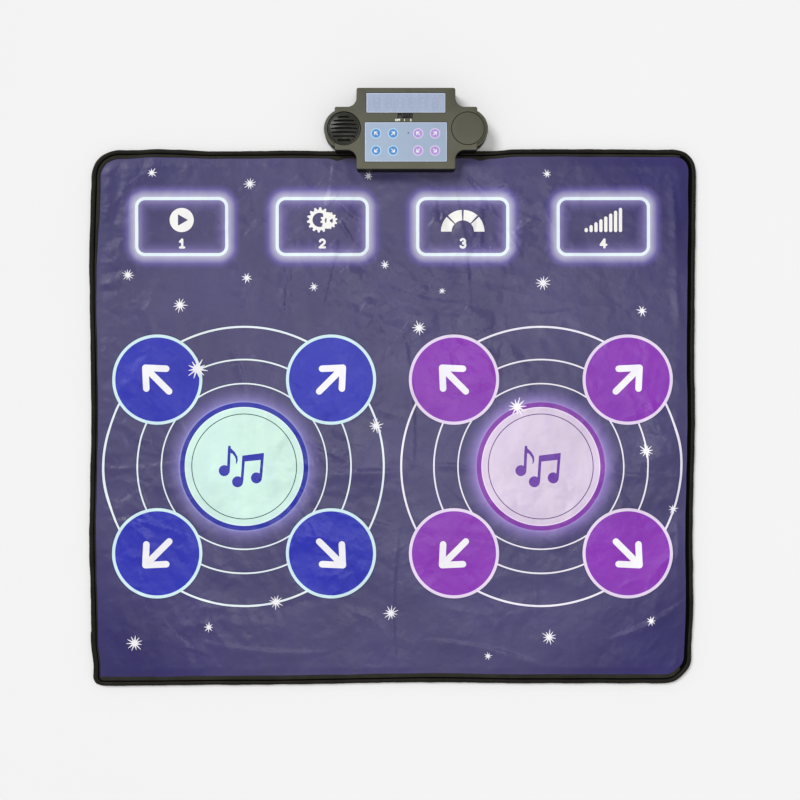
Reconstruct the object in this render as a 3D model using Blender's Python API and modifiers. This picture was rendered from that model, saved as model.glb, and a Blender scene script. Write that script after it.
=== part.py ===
"""Dance mat controller: a soft two-player mat with fourteen pressure zones and a clamped control unit.

The mat lies on Z = 0 with its centre at the origin, +X along its long side and +Y towards the unit.
All lengths are in metres.
"""

import math

import bpy
import bmesh

# Clearances
GAP = 0.0003
PAD_CLEARANCE = 0.0003
KNOB_CLEARANCE = 0.0003

# Printed layout of the pressure zones
CENTRE_PAD_RADIUS = 0.0960
SMALL_PAD_RADIUS = 0.0675
PAD_OFFSET = 0.1300
SIDE_MARGIN = 0.0305
CLUSTER_GAP = 0.0490
KEY_LENGTH = 0.1395
KEY_WIDTH = 0.0885
KEY_CORNER_RADIUS = 0.0150
KEY_PITCH = 0.2103
BOTTOM_MARGIN = 0.1300
ROW_GAP = 0.11725
TOP_MARGIN = 0.06925

# Mat layers, from the floor up
MAT_CORNER_RADIUS = 0.0380
BACKING_THICKNESS = 0.0016
FILM_THICKNESS = 0.00025
FOAM_THICKNESS = 0.0026
COVER_THICKNESS = 0.0007
FILM_INSET = 0.0160
BINDING_WIDTH = 0.0130
BINDING_TAPE = 0.0006
BINDING_WALL = 0.0010
BINDING_ROUND = 0.0007

# Moving zone pucks: their travel, the width of the thin rim and its step up from the contact face
PAD_TRAVEL = 0.0014
PUCK_RIM = 0.0120
PUCK_STEP = 0.00125

# Clamp that grips the mat under the unit
CLAMP_EDGE_GAP = 0.0025
CLAMP_PLATE_LENGTH = 0.0840
CLAMP_PLATE_WIDTH = 0.0160
CLAMP_PLATE_THICKNESS = 0.0013
CLAMP_PLATE_LIFT = 0.00015
CLAMP_SCREW_PITCH = 0.0240
CLAMP_POST_RADIUS = 0.0032
CLAMP_HEAD_RADIUS = 0.0026
COUNTERSINK_SLOPE = 0.45

# Control unit outline
UNIT_OFFSET_X = 0.0200
UNIT_FRONT_SETBACK = 0.0085
BLOCK_HALF_LENGTH = 0.0730
BLOCK_HALF_WIDTH = 0.0600
BLOCK_CORNER_RADIUS = 0.0030
EAR_REACH = 0.0323
EAR_HALF_WIDTH = 0.0320
EAR_CORNER_RADIUS = 0.0025
EAR_FILLET_RADIUS = 0.0135
ROUND_INSET = 0.0138
ROUND_RADIUS = 0.0265
ROUND_RING = 0.0033
RING_DROP = 0.0030
FACE_EDGE_ROUND = 0.0012

# Control unit walls and levels
UNIT_LIFT = 0.0018
CASE_WALL = 0.0022
FACE_WALL = 0.0024
SPLIT_HEIGHT = 0.0170
LIP_WALL = 0.0010
LIP_HEIGHT = 0.0020
FOOT_RADIUS = 0.0060
FOOT_INSET_X = 0.0130
FOOT_INSET_Y = 0.0200

# Windows, switch, grille and blanking cap in the face
WINDOW_THICKNESS = 0.0010
WINDOW_SINK = 0.0003
WINDOW_LEDGE = 0.0015
WINDOW_CORNER_RADIUS = 0.0012
SCORE_HALF_LENGTH = 0.0582
SCORE_HALF_WIDTH = 0.0144
SCORE_BACK_MARGIN = 0.0080
ICON_HALF_LENGTH = 0.0606
ICON_FRONT_MARGIN = 0.0109
SLOT_LENGTH = 0.0220
SLOT_WIDTH = 0.0068
SLOT_CENTRE_X = -0.0012
SLOT_TO_SCORE = 0.0012
SLOT_TO_ICON = 0.0063
KNOB_LENGTH = 0.0153
KNOB_RISE = 0.0006
KNOB_RIDGES = 6
GRILLE_RADIUS = 0.0243
GRILLE_FLANGE = 0.0017
GRILLE_RIM = 0.0022
GRILLE_RISE = 0.0036
GRILLE_WALL = 0.0016
SLAT_COUNT = 7
SLAT_PITCH = 0.00575
SLAT_OPENING = 0.0022
POCKET_DEPTH = 0.0040
POCKET_LEDGE = 0.0014
CAP_RADIUS = 0.0239
CAP_RISE = 0.0005
CAP_EDGE_ROUND = 0.0008

# Electronics
DISPLAY_DEPTH = 0.0043
BOARD_THICKNESS = 0.0012
BOARD_SPACING = 0.0056
BOARD_MARGIN = 0.0070
SPEAKER_RADIUS = 0.0225
SPEAKER_DEPTH = 0.0085
SPEAKER_WALL = 0.0012
DUST_CAP_RADIUS = 0.0058
DUST_CAP_RISE = 0.0012
MAGNET_RADIUS = 0.0115
MAGNET_DEPTH = 0.0065
RIBBON_WIDTH = 0.0120
RIBBON_THICKNESS = 0.0003
RIBBON_FOOT = 0.0060
CONNECTOR_HEIGHT = 0.0033

# Battery compartment for three standard cells
CELL_COUNT = 3
CELL_RADIUS = 0.0071
CELL_LENGTH = 0.0505
CELL_PITCH = 0.0150
CELL_NUB = 0.0012
CELL_NUB_RADIUS = 0.0027
BAY_WALL = 0.0015
BAY_BACK_GAP = 0.0058
CONTACT_THICKNESS = 0.0004
SPRING_LENGTH = 0.0074
SPRING_RADIUS = 0.0050
DOOR_THICKNESS = 0.0014
DOOR_LEDGE = 0.0026
DOOR_TAB = 0.0095

# Fasteners
SCREW_SHANK_RADIUS = 0.0012
SCREW_HEAD_RADIUS = 0.0027
SCREW_HEAD_HEIGHT = 0.0012
SCREW_BITE = 0.0080
BOSS_WALL = 0.0020
BOSS_INSET = 0.0080
POST_RADIUS = 0.0012

# Facets
SMALL_PAD_SIDES = 20
CENTRE_PAD_SIDES = 28
ROUND_SIDES = 28
SCREW_SIDES = 8
BOSS_SIDES = 10
DOME_STEPS = 4
RIM_EDGE_STEPS = 2
ROUND_PROFILE = 0.5
LINED_UP = ("battery_door", "front_cover", "rear_case")

# How close points, levels and faces count as one, with the angles in degrees
MERGE_DISTANCE = 1e-6
LEVEL_TOLERANCE = 1e-7
FLAT_ANGLE = 0.05
RIM_EDGE_ANGLE = 60
SMOOTH_ANGLE = 35

# Levels of the mat layers
backing_top = BACKING_THICKNESS
lower_film_low = backing_top + GAP
foam_low = lower_film_low + FILM_THICKNESS + GAP
foam_top = foam_low + FOAM_THICKNESS
upper_film_low = foam_top + GAP
upper_film_top = upper_film_low + FILM_THICKNESS
cover_low = upper_film_top + GAP
cover_top = cover_low + COVER_THICKNESS
mat_top = cover_top + GAP + BINDING_TAPE
contact_face = lower_film_low + FILM_THICKNESS + GAP + PAD_TRAVEL
puck_rim_low = contact_face + PUCK_STEP

# Layout of the mat, worked out from its zones and margins
cluster_half = PAD_OFFSET + SMALL_PAD_RADIUS
mat_length = 2 * SIDE_MARGIN + 4 * cluster_half + CLUSTER_GAP
mat_width = BOTTOM_MARGIN + 2 * cluster_half + ROW_GAP + KEY_WIDTH + TOP_MARGIN
cluster_x = CLUSTER_GAP / 2 + cluster_half
cluster_y = -mat_width / 2 + BOTTOM_MARGIN + cluster_half
key_row_y = mat_width / 2 - TOP_MARGIN - KEY_WIDTH / 2

# Place and levels of the control unit
clamp_y = mat_width / 2 - BINDING_WIDTH - GAP - CLAMP_EDGE_GAP - CLAMP_PLATE_WIDTH / 2
unit_y = clamp_y - UNIT_FRONT_SETBACK + BLOCK_HALF_WIDTH
local_clamp_y = clamp_y - unit_y
local_mat_edge_y = mat_width / 2 - unit_y
ear_end = BLOCK_HALF_LENGTH + EAR_REACH
round_x = ear_end - ROUND_INSET
ring_radius = ROUND_RADIUS + ROUND_RING
floor_top = UNIT_LIFT + CASE_WALL
raised_low = mat_top + GAP
raised_top = raised_low + CASE_WALL
door_low = UNIT_LIFT
door_top = door_low + DOOR_THICKNESS
cell_z = door_top + 3 * GAP + CELL_RADIUS
bay_ceiling = cell_z + CELL_RADIUS + 2 * GAP
bay_roof = bay_ceiling + BAY_WALL
main_board_low = bay_roof + GAP
main_board_top = main_board_low + BOARD_THICKNESS
display_board_low = main_board_top + BOARD_SPACING
display_board_top = display_board_low + BOARD_THICKNESS
display_low = display_board_top + GAP
display_top = display_low + DISPLAY_DEPTH
face_inner = display_top + GAP
face_top = face_inner + FACE_WALL
ring_top = face_top - RING_DROP
pocket_floor = face_top - POCKET_DEPTH
ear_ceiling = pocket_floor - POCKET_LEDGE
window_top = face_top - WINDOW_SINK
window_low = window_top - WINDOW_THICKNESS
window_seat = window_low - GAP
score_y = BLOCK_HALF_WIDTH - SCORE_BACK_MARGIN - SCORE_HALF_WIDTH
slot_y = score_y - SCORE_HALF_WIDTH - SLOT_TO_SCORE - SLOT_WIDTH / 2
icon_back = slot_y - SLOT_WIDTH / 2 - SLOT_TO_ICON
icon_front = -BLOCK_HALF_WIDTH + ICON_FRONT_MARGIN
icon_half_width = (icon_back - icon_front) / 2
icon_y = (icon_back + icon_front) / 2

# Battery compartment in plan
bay_half_length = (CELL_LENGTH + SPRING_LENGTH + 2 * CONTACT_THICKNESS + 5 * GAP) / 2
bay_back = BLOCK_HALF_WIDTH - CASE_WALL - BAY_BACK_GAP - BAY_WALL
bay_front = bay_back - (CELL_COUNT - 1) * CELL_PITCH - 2 * CELL_RADIUS - 4 * GAP

# Screw bosses that join the two halves of the housing
boss_radius = SCREW_SHANK_RADIUS + GAP + BOSS_WALL
back_boss = (BLOCK_HALF_LENGTH - BOSS_INSET, BLOCK_HALF_WIDTH - BOSS_INSET - BOSS_WALL)
front_boss = (BLOCK_HALF_LENGTH - CASE_WALL - boss_radius, local_mat_edge_y + CASE_WALL + boss_radius + GAP)
seat_top = floor_top + BOSS_WALL
head_seat = UNIT_LIFT + SCREW_HEAD_HEIGHT + 2 * GAP


def clear_scene():
    for obj in list(bpy.data.objects):
        bpy.data.objects.remove(obj, do_unlink=True)


def new_collection(name):
    group = bpy.data.collections.new(name)
    bpy.context.scene.collection.children.link(group)
    return group


def new_material(name, colour, roughness, metallic=0.0):
    look = bpy.data.materials.new(name)
    look.use_nodes = True
    shader = look.node_tree.nodes["Principled BSDF"]
    shader.inputs["Base Color"].default_value = (*colour, 1.0)
    shader.inputs["Roughness"].default_value = roughness
    shader.inputs["Metallic"].default_value = metallic
    return look


def new_empty(name, location):
    empty = bpy.data.objects.new(name, None)
    empty.location = location
    parts.objects.link(empty)
    return empty


def place(obj, name, parent, look=None):
    """Put a new object in its collection: pieces have a look, cutters have none."""
    obj.name = name
    for group in list(obj.users_collection):
        group.objects.unlink(obj)
    obj.parent = parent
    if look is None:
        cutters.objects.link(obj)
        obj.hide_render = True
        obj.display_type = "WIRE"
    else:
        parts.objects.link(obj)
        obj.data.materials.append(look)
    return obj


def arc(centre, radius, start, end, steps):
    """Points along an arc, with the angles in degrees and both ends included."""
    points = []
    for step in range(steps + 1):
        angle = math.radians(start + (end - start) * step / steps)
        points.append((centre[0] + radius * math.cos(angle), centre[1] + radius * math.sin(angle)))
    return points


def circle(centre, radius, sides):
    return arc(centre, radius, 0, 360, sides)[:-1]


def rounded_rectangle(centre, half_x, half_y, radius, steps=3):
    points = []
    for start, sign_x, sign_y in ((0, 1, 1), (90, -1, 1), (180, -1, -1), (270, 1, -1)):
        corner = (centre[0] + sign_x * (half_x - radius), centre[1] + sign_y * (half_y - radius))
        points += arc(corner, radius, start, start + 90, steps)
    return points


def plate(name, rings, low, high, parent, look=None):
    """A flat piece between two levels: the first ring is its outline, the others are its holes."""
    curve = bpy.data.curves.new(name, "CURVE")
    curve.dimensions = "2D"
    curve.fill_mode = "BOTH"
    curve.extrude = (high - low) / 2
    for ring in rings:
        spline = curve.splines.new("POLY")
        spline.points.add(len(ring) - 1)
        for point, (x, y) in zip(spline.points, ring):
            point.co = (x, y, 0.0, 1.0)
        spline.use_cyclic_u = True
    drawn = bpy.data.objects.new(name, curve)
    drawn.location = (0.0, 0.0, (low + high) / 2)
    bpy.context.scene.collection.objects.link(drawn)
    solid = made_mesh(drawn, name)
    return place(solid, name, parent, look)


def made_mesh(drawn, name):
    """Turn a curve object into a mesh object in the same place, with its caps welded."""
    bpy.context.view_layer.update()
    evaluated = drawn.evaluated_get(bpy.context.evaluated_depsgraph_get())
    mesh = bpy.data.meshes.new_from_object(evaluated)
    work = bmesh.new()
    work.from_mesh(mesh)
    bmesh.ops.remove_doubles(work, verts=work.verts, dist=MERGE_DISTANCE)
    flat = math.radians(FLAT_ANGLE)
    bmesh.ops.dissolve_limit(work, angle_limit=flat, verts=work.verts, edges=work.edges)
    tidy_caps(work)
    work.to_mesh(mesh)
    work.free()
    solid = bpy.data.objects.new(name, mesh)
    solid.matrix_world = drawn.matrix_world.copy()
    bpy.data.objects.remove(drawn, do_unlink=True)
    return solid


def tidy_caps(work):
    """Split the many-sided faces into well shaped triangles and turn every face outwards."""
    caps = [face for face in work.faces if len(face.verts) > 4]
    bmesh.ops.triangulate(work, faces=caps, ngon_method="BEAUTY")
    bmesh.ops.recalc_face_normals(work, faces=work.faces)


def loft(name, rings, parent, look=None):
    """A solid through rings of equal count, each a list of points and its level, from the lowest up."""
    work = bmesh.new()
    made = [[work.verts.new((x, y, level)) for x, y in ring] for ring, level in rings]
    for below, above in zip(made, made[1:]):
        for index in range(len(below)):
            work.faces.new((below[index - 1], below[index], above[index], above[index - 1]))
    work.faces.new(made[0])
    work.faces.new(made[-1])
    bmesh.ops.remove_doubles(work, verts=work.verts, dist=MERGE_DISTANCE)
    tidy_caps(work)
    mesh = bpy.data.meshes.new(name)
    work.to_mesh(mesh)
    work.free()
    return place(bpy.data.objects.new(name, mesh), name, parent, look)


def several_plates(name, shapes, parent, look=None):
    """Separate flat solids in one mesh, for a cutter or a tool with many like parts."""
    merged = bmesh.new()
    for rings, low, high in shapes:
        single = plate(name, rings, low, high, parent)
        start = len(merged.verts)
        merged.from_mesh(single.data)
        merged.verts.ensure_lookup_table()
        bmesh.ops.translate(merged, verts=merged.verts[start:], vec=single.location)
        bpy.data.objects.remove(single, do_unlink=True)
    mesh = bpy.data.meshes.new(name)
    merged.to_mesh(mesh)
    merged.free()
    return place(bpy.data.objects.new(name, mesh), name, parent, look)


def turned(name, profile, sides, location, parent, look=None, rotation=(0.0, 0.0, 0.0)):
    """A turned piece: the profile lists (radius, height) down its outer side, top to bottom."""
    line = bpy.data.meshes.new(name)
    verts = [(radius, 0.0, height) for radius, height in profile]
    line.from_pydata(verts, [(index, index + 1) for index in range(len(verts) - 1)], [])
    drawn = bpy.data.objects.new(name, line)
    bpy.context.scene.collection.objects.link(drawn)
    screw = drawn.modifiers.new("Turn", "SCREW")
    screw.axis = "Z"
    screw.angle = math.tau
    screw.steps = sides
    screw.render_steps = sides
    screw.use_merge_vertices = True
    screw.merge_threshold = MERGE_DISTANCE
    solid = made_mesh(drawn, name)
    solid.data.shade_smooth()
    solid.data.set_sharp_from_angle(angle=math.radians(SMOOTH_ANGLE))
    solid.location = location
    solid.rotation_euler = rotation
    return place(solid, name, parent, look)


def block(name, low, high, parent, look=None):
    """A rectangular piece between two corners, placed by its centre."""
    mesh = bpy.data.meshes.new(name)
    work = bmesh.new()
    bmesh.ops.create_cube(work, size=1.0)
    size = [high[axis] - low[axis] for axis in range(3)]
    bmesh.ops.scale(work, vec=size, verts=work.verts)
    work.to_mesh(mesh)
    work.free()
    obj = place(bpy.data.objects.new(name, mesh), name, parent, look)
    obj.location = [(high[axis] + low[axis]) / 2 for axis in range(3)]
    return obj


def boolean(target, tool, operation="DIFFERENCE"):
    """Cut or join two closed solids. Outlines with corners in line need the MANIFOLD solver."""
    modifier = target.modifiers.new(tool.name, "BOOLEAN")
    modifier.operation = operation
    modifier.solver = "MANIFOLD" if target.name in LINED_UP else "EXACT"
    modifier.object = tool


def prism_x(name, section, low_x, high_x, parent, look=None):
    """A piece with one section in the YZ plane all along X."""
    solid = plate(name, [section], low_x, high_x, parent, look)
    solid.location = ((low_x + high_x) / 2, 0.0, 0.0)
    solid.rotation_euler = (math.radians(90), 0.0, math.radians(90))
    return solid


def cut_below(ring, level):
    """The part of an outline whose Y is below a level."""
    kept = []
    for index, (x, y) in enumerate(ring):
        last_x, last_y = ring[index - 1]
        if (last_y < level) != (y < level):
            share = (level - last_y) / (y - last_y)
            kept.append((last_x + share * (x - last_x), level))
        if y < level:
            kept.append((x, y))
    return kept


def mat_outline(inset):
    return rounded_rectangle(
        (0.0, 0.0), mat_length / 2 - inset, mat_width / 2 - inset, MAT_CORNER_RADIUS - inset, steps=4
    )


def unit_outline(grow, round_end=None):
    """Outline of the control unit, grown outwards: block, ears and the round ends of the ears.

    The round ends have the ring's radius, or round_end where the face stands above the ring.
    """
    half_x = BLOCK_HALF_LENGTH + grow
    half_y = BLOCK_HALF_WIDTH + grow
    ear_x = ear_end + grow
    ear_y = EAR_HALF_WIDTH + grow
    radius = ring_radius + grow
    shoulder_y = math.sqrt(radius**2 - (ear_x - round_x) ** 2)
    block_corner = max(BLOCK_CORNER_RADIUS + grow, GAP)
    ear_corner = max(min(EAR_CORNER_RADIUS + grow, ear_y - shoulder_y - GAP), GAP / 2)
    fillet = EAR_FILLET_RADIUS - grow
    fillet_centre = (BLOCK_HALF_LENGTH + EAR_FILLET_RADIUS, EAR_HALF_WIDTH + EAR_FILLET_RADIUS)
    quarter = arc((half_x - block_corner, half_y - block_corner), block_corner, 90, 0, 2)
    quarter += arc(fillet_centre, fillet, 180, 270, 3)
    quarter += arc((ear_x - ear_corner, ear_y - ear_corner), ear_corner, 90, 0, 2)
    if round_end is None:
        quarter += arc((round_x, 0.0), radius, math.degrees(math.asin(shoulder_y / radius)), 0, 5)
    else:
        inner = round_end + grow
        meet_y = math.sqrt(inner**2 - (ear_x - round_x) ** 2)
        quarter.append((ear_x, shoulder_y))
        quarter += arc((round_x, 0.0), inner, math.degrees(math.asin(meet_y / inner)), 0, 4)
    lower = [(x, -y) for x, y in reversed(quarter[:-1])]
    right = quarter + lower
    return right + [(-x, y) for x, y in reversed(right)]


# Places of the pads, the menu keys and what passes through the mat
def pad_places():
    """Name, centre and radius of each round zone."""
    places = []
    for side, sign in (("left", -1), ("right", 1)):
        middle = (sign * cluster_x, cluster_y)
        places.append((f"{side}_pad_centre", middle, CENTRE_PAD_RADIUS, CENTRE_PAD_SIDES))
        for row, up in (("upper", 1), ("lower", -1)):
            for end, along in (("left", -1), ("right", 1)):
                corner = (middle[0] + along * PAD_OFFSET, middle[1] + up * PAD_OFFSET)
                places.append((f"{side}_pad_{row}_{end}", corner, SMALL_PAD_RADIUS, SMALL_PAD_SIDES))
    return places


def key_places():
    names = ("menu_key_start", "menu_key_mode", "menu_key_level", "menu_key_volume")
    return [(name, ((index - 1.5) * KEY_PITCH, key_row_y)) for index, name in enumerate(names)]


def key_ring(centre, grow):
    return rounded_rectangle(
        centre, KEY_LENGTH / 2 + grow, KEY_WIDTH / 2 + grow, KEY_CORNER_RADIUS + grow, steps=3
    )


def zone_holes():
    grow = PAD_CLEARANCE
    rings = [circle(centre, radius + grow, sides) for name, centre, radius, sides in pad_places()]
    return rings + [key_ring(centre, grow) for name, centre in key_places()]


def clamp_places():
    """Centres of the clamp screws, in the mat's plane."""
    return [(UNIT_OFFSET_X + (index - 1.5) * CLAMP_SCREW_PITCH, clamp_y) for index in range(4)]


def post_holes():
    return [circle(centre, CLAMP_POST_RADIUS + GAP, SCREW_SIDES) for centre in clamp_places()]


def ribbon_window():
    half_x = RIBBON_WIDTH / 2 + GAP
    half_y = RIBBON_FOOT / 2 + RIBBON_THICKNESS + GAP
    return rounded_rectangle((UNIT_OFFSET_X, clamp_y), half_x, half_y, GAP, steps=1)


# The mat
def make_backing():
    plate_cut = rounded_rectangle(
        (UNIT_OFFSET_X, clamp_y),
        CLAMP_PLATE_LENGTH / 2 + GAP,
        CLAMP_PLATE_WIDTH / 2 + GAP,
        GAP * 3,
        steps=1,
    )
    outline = mat_outline(BINDING_WALL + GAP)
    backing = plate("bottom_backing", [outline, plate_cut], 0.0, backing_top, None, looks["backing"])
    rebate = [mat_outline(-BINDING_WALL), mat_outline(BINDING_WIDTH + GAP)]
    boolean(backing, plate("backing_rebate", rebate, -BACKING_THICKNESS, BINDING_TAPE + GAP, None))


def make_inner_layers():
    film_outline = mat_outline(FILM_INSET)
    foam_outline = mat_outline(BINDING_WALL + GAP)
    layers = (
        ("lower_contact_film", [film_outline], lower_film_low, FILM_THICKNESS, "film"),
        ("spacer_foam", [foam_outline] + zone_holes(), foam_low, FOAM_THICKNESS, "foam"),
        ("upper_contact_film", [film_outline] + zone_holes(), upper_film_low, FILM_THICKNESS, "film"),
    )
    for name, rings, low, thickness, look in layers:
        plate(name, rings + post_holes(), low, low + thickness, None, looks[look])


def make_cover():
    rings = [mat_outline(BINDING_WALL + GAP)] + zone_holes() + post_holes() + [ribbon_window()]
    plate("top_cover", rings, cover_low, cover_top, None, looks["cover"])


def make_binding():
    binding = plate(
        "edge_binding", [mat_outline(0.0), mat_outline(BINDING_WIDTH)], 0.0, mat_top, None, looks["binding"]
    )
    round_outer_rim(binding, BINDING_ROUND)
    channel = [mat_outline(BINDING_WALL), mat_outline(BINDING_WIDTH * 2)]
    boolean(binding, plate("binding_channel", channel, BINDING_TAPE, mat_top - BINDING_TAPE, None))


def round_outer_rim(obj, width):
    """Round the two long edges on the outer side of the binding."""
    work = bmesh.new()
    work.from_mesh(obj.data)
    limit_x = mat_length / 2 - BINDING_WIDTH / 2
    limit_y = mat_width / 2 - BINDING_WIDTH / 2
    inner_corner = MAT_CORNER_RADIUS - BINDING_WIDTH / 2

    def outside(vert):
        x, y = abs(vert.co.x), abs(vert.co.y)
        if x > limit_x or y > limit_y:
            return True
        return math.hypot(x - limit_x + inner_corner, y - limit_y + inner_corner) > inner_corner

    rim = [
        edge
        for edge in work.edges
        if all(outside(vert) for vert in edge.verts)
        and abs(edge.verts[0].co.z - edge.verts[1].co.z) < LEVEL_TOLERANCE
        and edge.calc_face_angle() > math.radians(RIM_EDGE_ANGLE)
    ]
    bmesh.ops.bevel(
        work, geom=rim, offset=width, segments=RIM_EDGE_STEPS, profile=ROUND_PROFILE, affect="EDGES"
    )
    work.to_mesh(obj.data)
    work.free()


def make_round_pad(name, centre, radius, sides, parent):
    """A zone's disc of cover with its contact boss, on its own sliding axis."""
    boss = radius - PUCK_RIM
    rim = puck_rim_low - cover_top
    face = contact_face - cover_top
    profile = ((0.0, 0.0), (radius, 0.0), (radius, rim), (boss, rim), (boss, face), (0.0, face))
    place_local = (centre[0] - parent.location.x, centre[1] - parent.location.y, 0.0)
    look = looks["left_pad"] if centre[0] < 0.0 else looks["right_pad"]
    turned(name, profile, sides, place_local, parent, look)


def make_key(name, centre, parent):
    rim = puck_rim_low - cover_top
    face = contact_face - cover_top
    key = plate(name, [key_ring((0.0, 0.0), 0.0)], rim, 0.0, parent, looks["key"])
    boss = plate(name + "_boss", [key_ring((0.0, 0.0), -PUCK_RIM)], face, rim / 2, parent)
    boolean(key, boss, "UNION")
    for solid in (key, boss):
        solid.location.x = centre[0] - parent.location.x
        solid.location.y = centre[1] - parent.location.y


def make_zones():
    for side, sign in (("left", -1), ("right", 1)):
        cluster = new_empty(f"{side}_cluster", (sign * cluster_x, cluster_y, cover_top))
        for name, centre, radius, sides in pad_places():
            if name.startswith(side):
                make_round_pad(name, centre, radius, sides, cluster)
    row = new_empty("menu_row", (0.0, key_row_y, cover_top))
    for name, centre in key_places():
        make_key(name, centre, row)


# The clamp under the mat
def countersunk_profile(low, tip, grow=0.0):
    """Profile of a countersunk screw with its head down, or of its hole when grown."""
    shank = SCREW_SHANK_RADIUS + grow
    head = CLAMP_HEAD_RADIUS + grow
    rim = low + GAP / 2 + grow
    neck = rim + (head - shank) * COUNTERSINK_SLOPE
    return ((0.0, tip), (shank, tip), (shank, neck), (head, rim), (head, low - grow), (0.0, low - grow))


def make_clamp():
    low = CLAMP_PLATE_LIFT
    high = low + CLAMP_PLATE_THICKNESS
    outline = rounded_rectangle(
        (0.0, local_clamp_y), CLAMP_PLATE_LENGTH / 2, CLAMP_PLATE_WIDTH / 2, GAP * 3, steps=1
    )
    clamp = plate("clamp_plate", [outline], low, high, unit, looks["steel"])
    for index, (x, y) in enumerate(clamp_places(), start=1):
        local = (x - UNIT_OFFSET_X, y - unit_y, 0.0)
        hole = turned(
            f"clamp_hole_{index}", countersunk_profile(low, high + GAP, GAP), SCREW_SIDES, local, unit
        )
        boolean(clamp, hole)
        profile = countersunk_profile(low, high + SCREW_BITE)
        turned(f"clamp_screw_{index}", profile, SCREW_SIDES, local, unit, looks["steel"])


# The housing of the control unit
def boss_places():
    return [(sign * x, y) for x, y in (back_boss, front_boss) for sign in (-1, 1)]


def make_front_cover():
    low = SPLIT_HEIGHT + GAP
    pocket = GRILLE_RADIUS + GAP
    edge = FACE_EDGE_ROUND
    half_way = edge * (1 - math.cos(math.radians(45)))
    rings = (
        (unit_outline(0.0), low),
        (unit_outline(0.0), ring_top),
        (unit_outline(0.0, ROUND_RADIUS), ring_top),
        (unit_outline(0.0, ROUND_RADIUS), face_top - edge),
        (unit_outline(-half_way, ROUND_RADIUS), face_top - half_way),
        (unit_outline(-edge, ROUND_RADIUS), face_top),
    )
    cover = loft("front_cover", rings, unit, looks["housing"])
    inner = unit_outline(-CASE_WALL)
    boolean(cover, plate("cover_cavity", [inner], low - CASE_WALL, ear_ceiling, unit))
    deep_x = min(BLOCK_HALF_LENGTH - CASE_WALL, round_x - pocket - CASE_WALL)
    deep_y = BLOCK_HALF_WIDTH - CASE_WALL
    boolean(cover, block("face_cavity", (-deep_x, -deep_y, low), (deep_x, deep_y, face_inner), unit))
    boss_low = seat_top + GAP
    bosses = [([circle(at, boss_radius, BOSS_SIDES)], boss_low, window_seat) for at in boss_places()]
    post_low = display_board_top + GAP
    posts = [([circle(at, POST_RADIUS, SCREW_SIDES)], post_low, window_seat) for at in post_places()]
    boolean(cover, several_plates("cover_bosses", bosses + posts, unit), "UNION")
    hole = SCREW_SHANK_RADIUS + GAP
    hole_top = boss_low + SCREW_BITE + GAP * 2
    holes = [([circle(at, hole, SCREW_SIDES)], boss_low - GAP, hole_top) for at in boss_places()]
    boolean(cover, several_plates("cover_screw_holes", holes, unit))
    above = face_top + CASE_WALL
    seats = [([ring], window_seat, above) for ring in window_rings(GAP)]
    boolean(cover, several_plates("window_pockets", seats, unit))
    openings = [([ring], low, above) for ring in window_rings(-WINDOW_LEDGE)]
    slot = rounded_rectangle((SLOT_CENTRE_X, slot_y), SLOT_LENGTH / 2, SLOT_WIDTH / 2, GAP * 2, steps=1)
    openings.append(([slot], display_low, above))
    sound_hole = circle((-round_x, 0.0), pocket - 2 * POCKET_LEDGE, ROUND_SIDES)
    openings.append(([sound_hole], ear_ceiling - GAP, above))
    boolean(cover, several_plates("face_openings", openings, unit))
    pockets = [
        ([circle((-round_x, 0.0), pocket, ROUND_SIDES)], pocket_floor, above),
        ([circle((round_x, 0.0), CAP_RADIUS + GAP, ROUND_SIDES)], pocket_floor, above),
    ]
    boolean(cover, several_plates("round_pockets", pockets, unit))


def post_places():
    """Posts of the front cover that bear on the display board, just outside the two windows."""
    x = SCORE_HALF_LENGTH - BOSS_INSET
    back = score_y + SCORE_HALF_WIDTH + POST_RADIUS + 4 * GAP
    front = icon_y - icon_half_width - POST_RADIUS - 4 * GAP
    return [(sign * x, y) for y in (back, front) for sign in (-1, 1)]


def window_rings(grow):
    score = rounded_rectangle(
        (0.0, score_y), SCORE_HALF_LENGTH + grow, SCORE_HALF_WIDTH + grow, WINDOW_CORNER_RADIUS, steps=1
    )
    icon = rounded_rectangle(
        (0.0, icon_y), ICON_HALF_LENGTH + grow, icon_half_width + grow, WINDOW_CORNER_RADIUS, steps=1
    )
    return score, icon


def make_rear_case():
    case = plate("rear_case", [unit_outline(0.0)], UNIT_LIFT, SPLIT_HEIGHT, unit, looks["housing"])
    lip_low, lip_high = SPLIT_HEIGHT - LIP_HEIGHT, SPLIT_HEIGHT + LIP_HEIGHT
    boolean(case, plate("rear_lip", [unit_outline(-CASE_WALL - GAP)], lip_low, lip_high, unit), "UNION")
    shoulder = lip_low + LIP_WALL / 2
    boolean(case, plate("case_cavity", [unit_outline(-CASE_WALL)], floor_top, shoulder, unit))
    mouth = unit_outline(-CASE_WALL - GAP - LIP_WALL)
    boolean(case, plate("case_mouth", [mouth], shoulder - GAP, lip_high + GAP, unit))
    step_y = local_mat_edge_y + GAP
    raised = cut_below(unit_outline(-CASE_WALL / 2), step_y + CASE_WALL)
    boolean(case, plate("raised_floor", [raised], floor_top - CASE_WALL / 2, raised_top, unit), "UNION")
    groove_y = local_mat_edge_y - BINDING_WIDTH - 2 * GAP
    far_x = ear_end + ROUND_RADIUS
    front = -BLOCK_HALF_WIDTH - CASE_WALL
    step_top = cover_top + GAP
    boolean(case, block("binding_groove", (-far_x, groove_y, -GAP), (far_x, step_y, raised_low), unit))
    boolean(case, block("cover_step", (-far_x, front, -GAP), (far_x, groove_y + GAP, step_top), unit))
    add_case_bosses(case)
    cut_case_holes(case)


def door_screw_place():
    return (0.0, bay_front - BAY_WALL - DOOR_TAB / 2)


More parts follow.
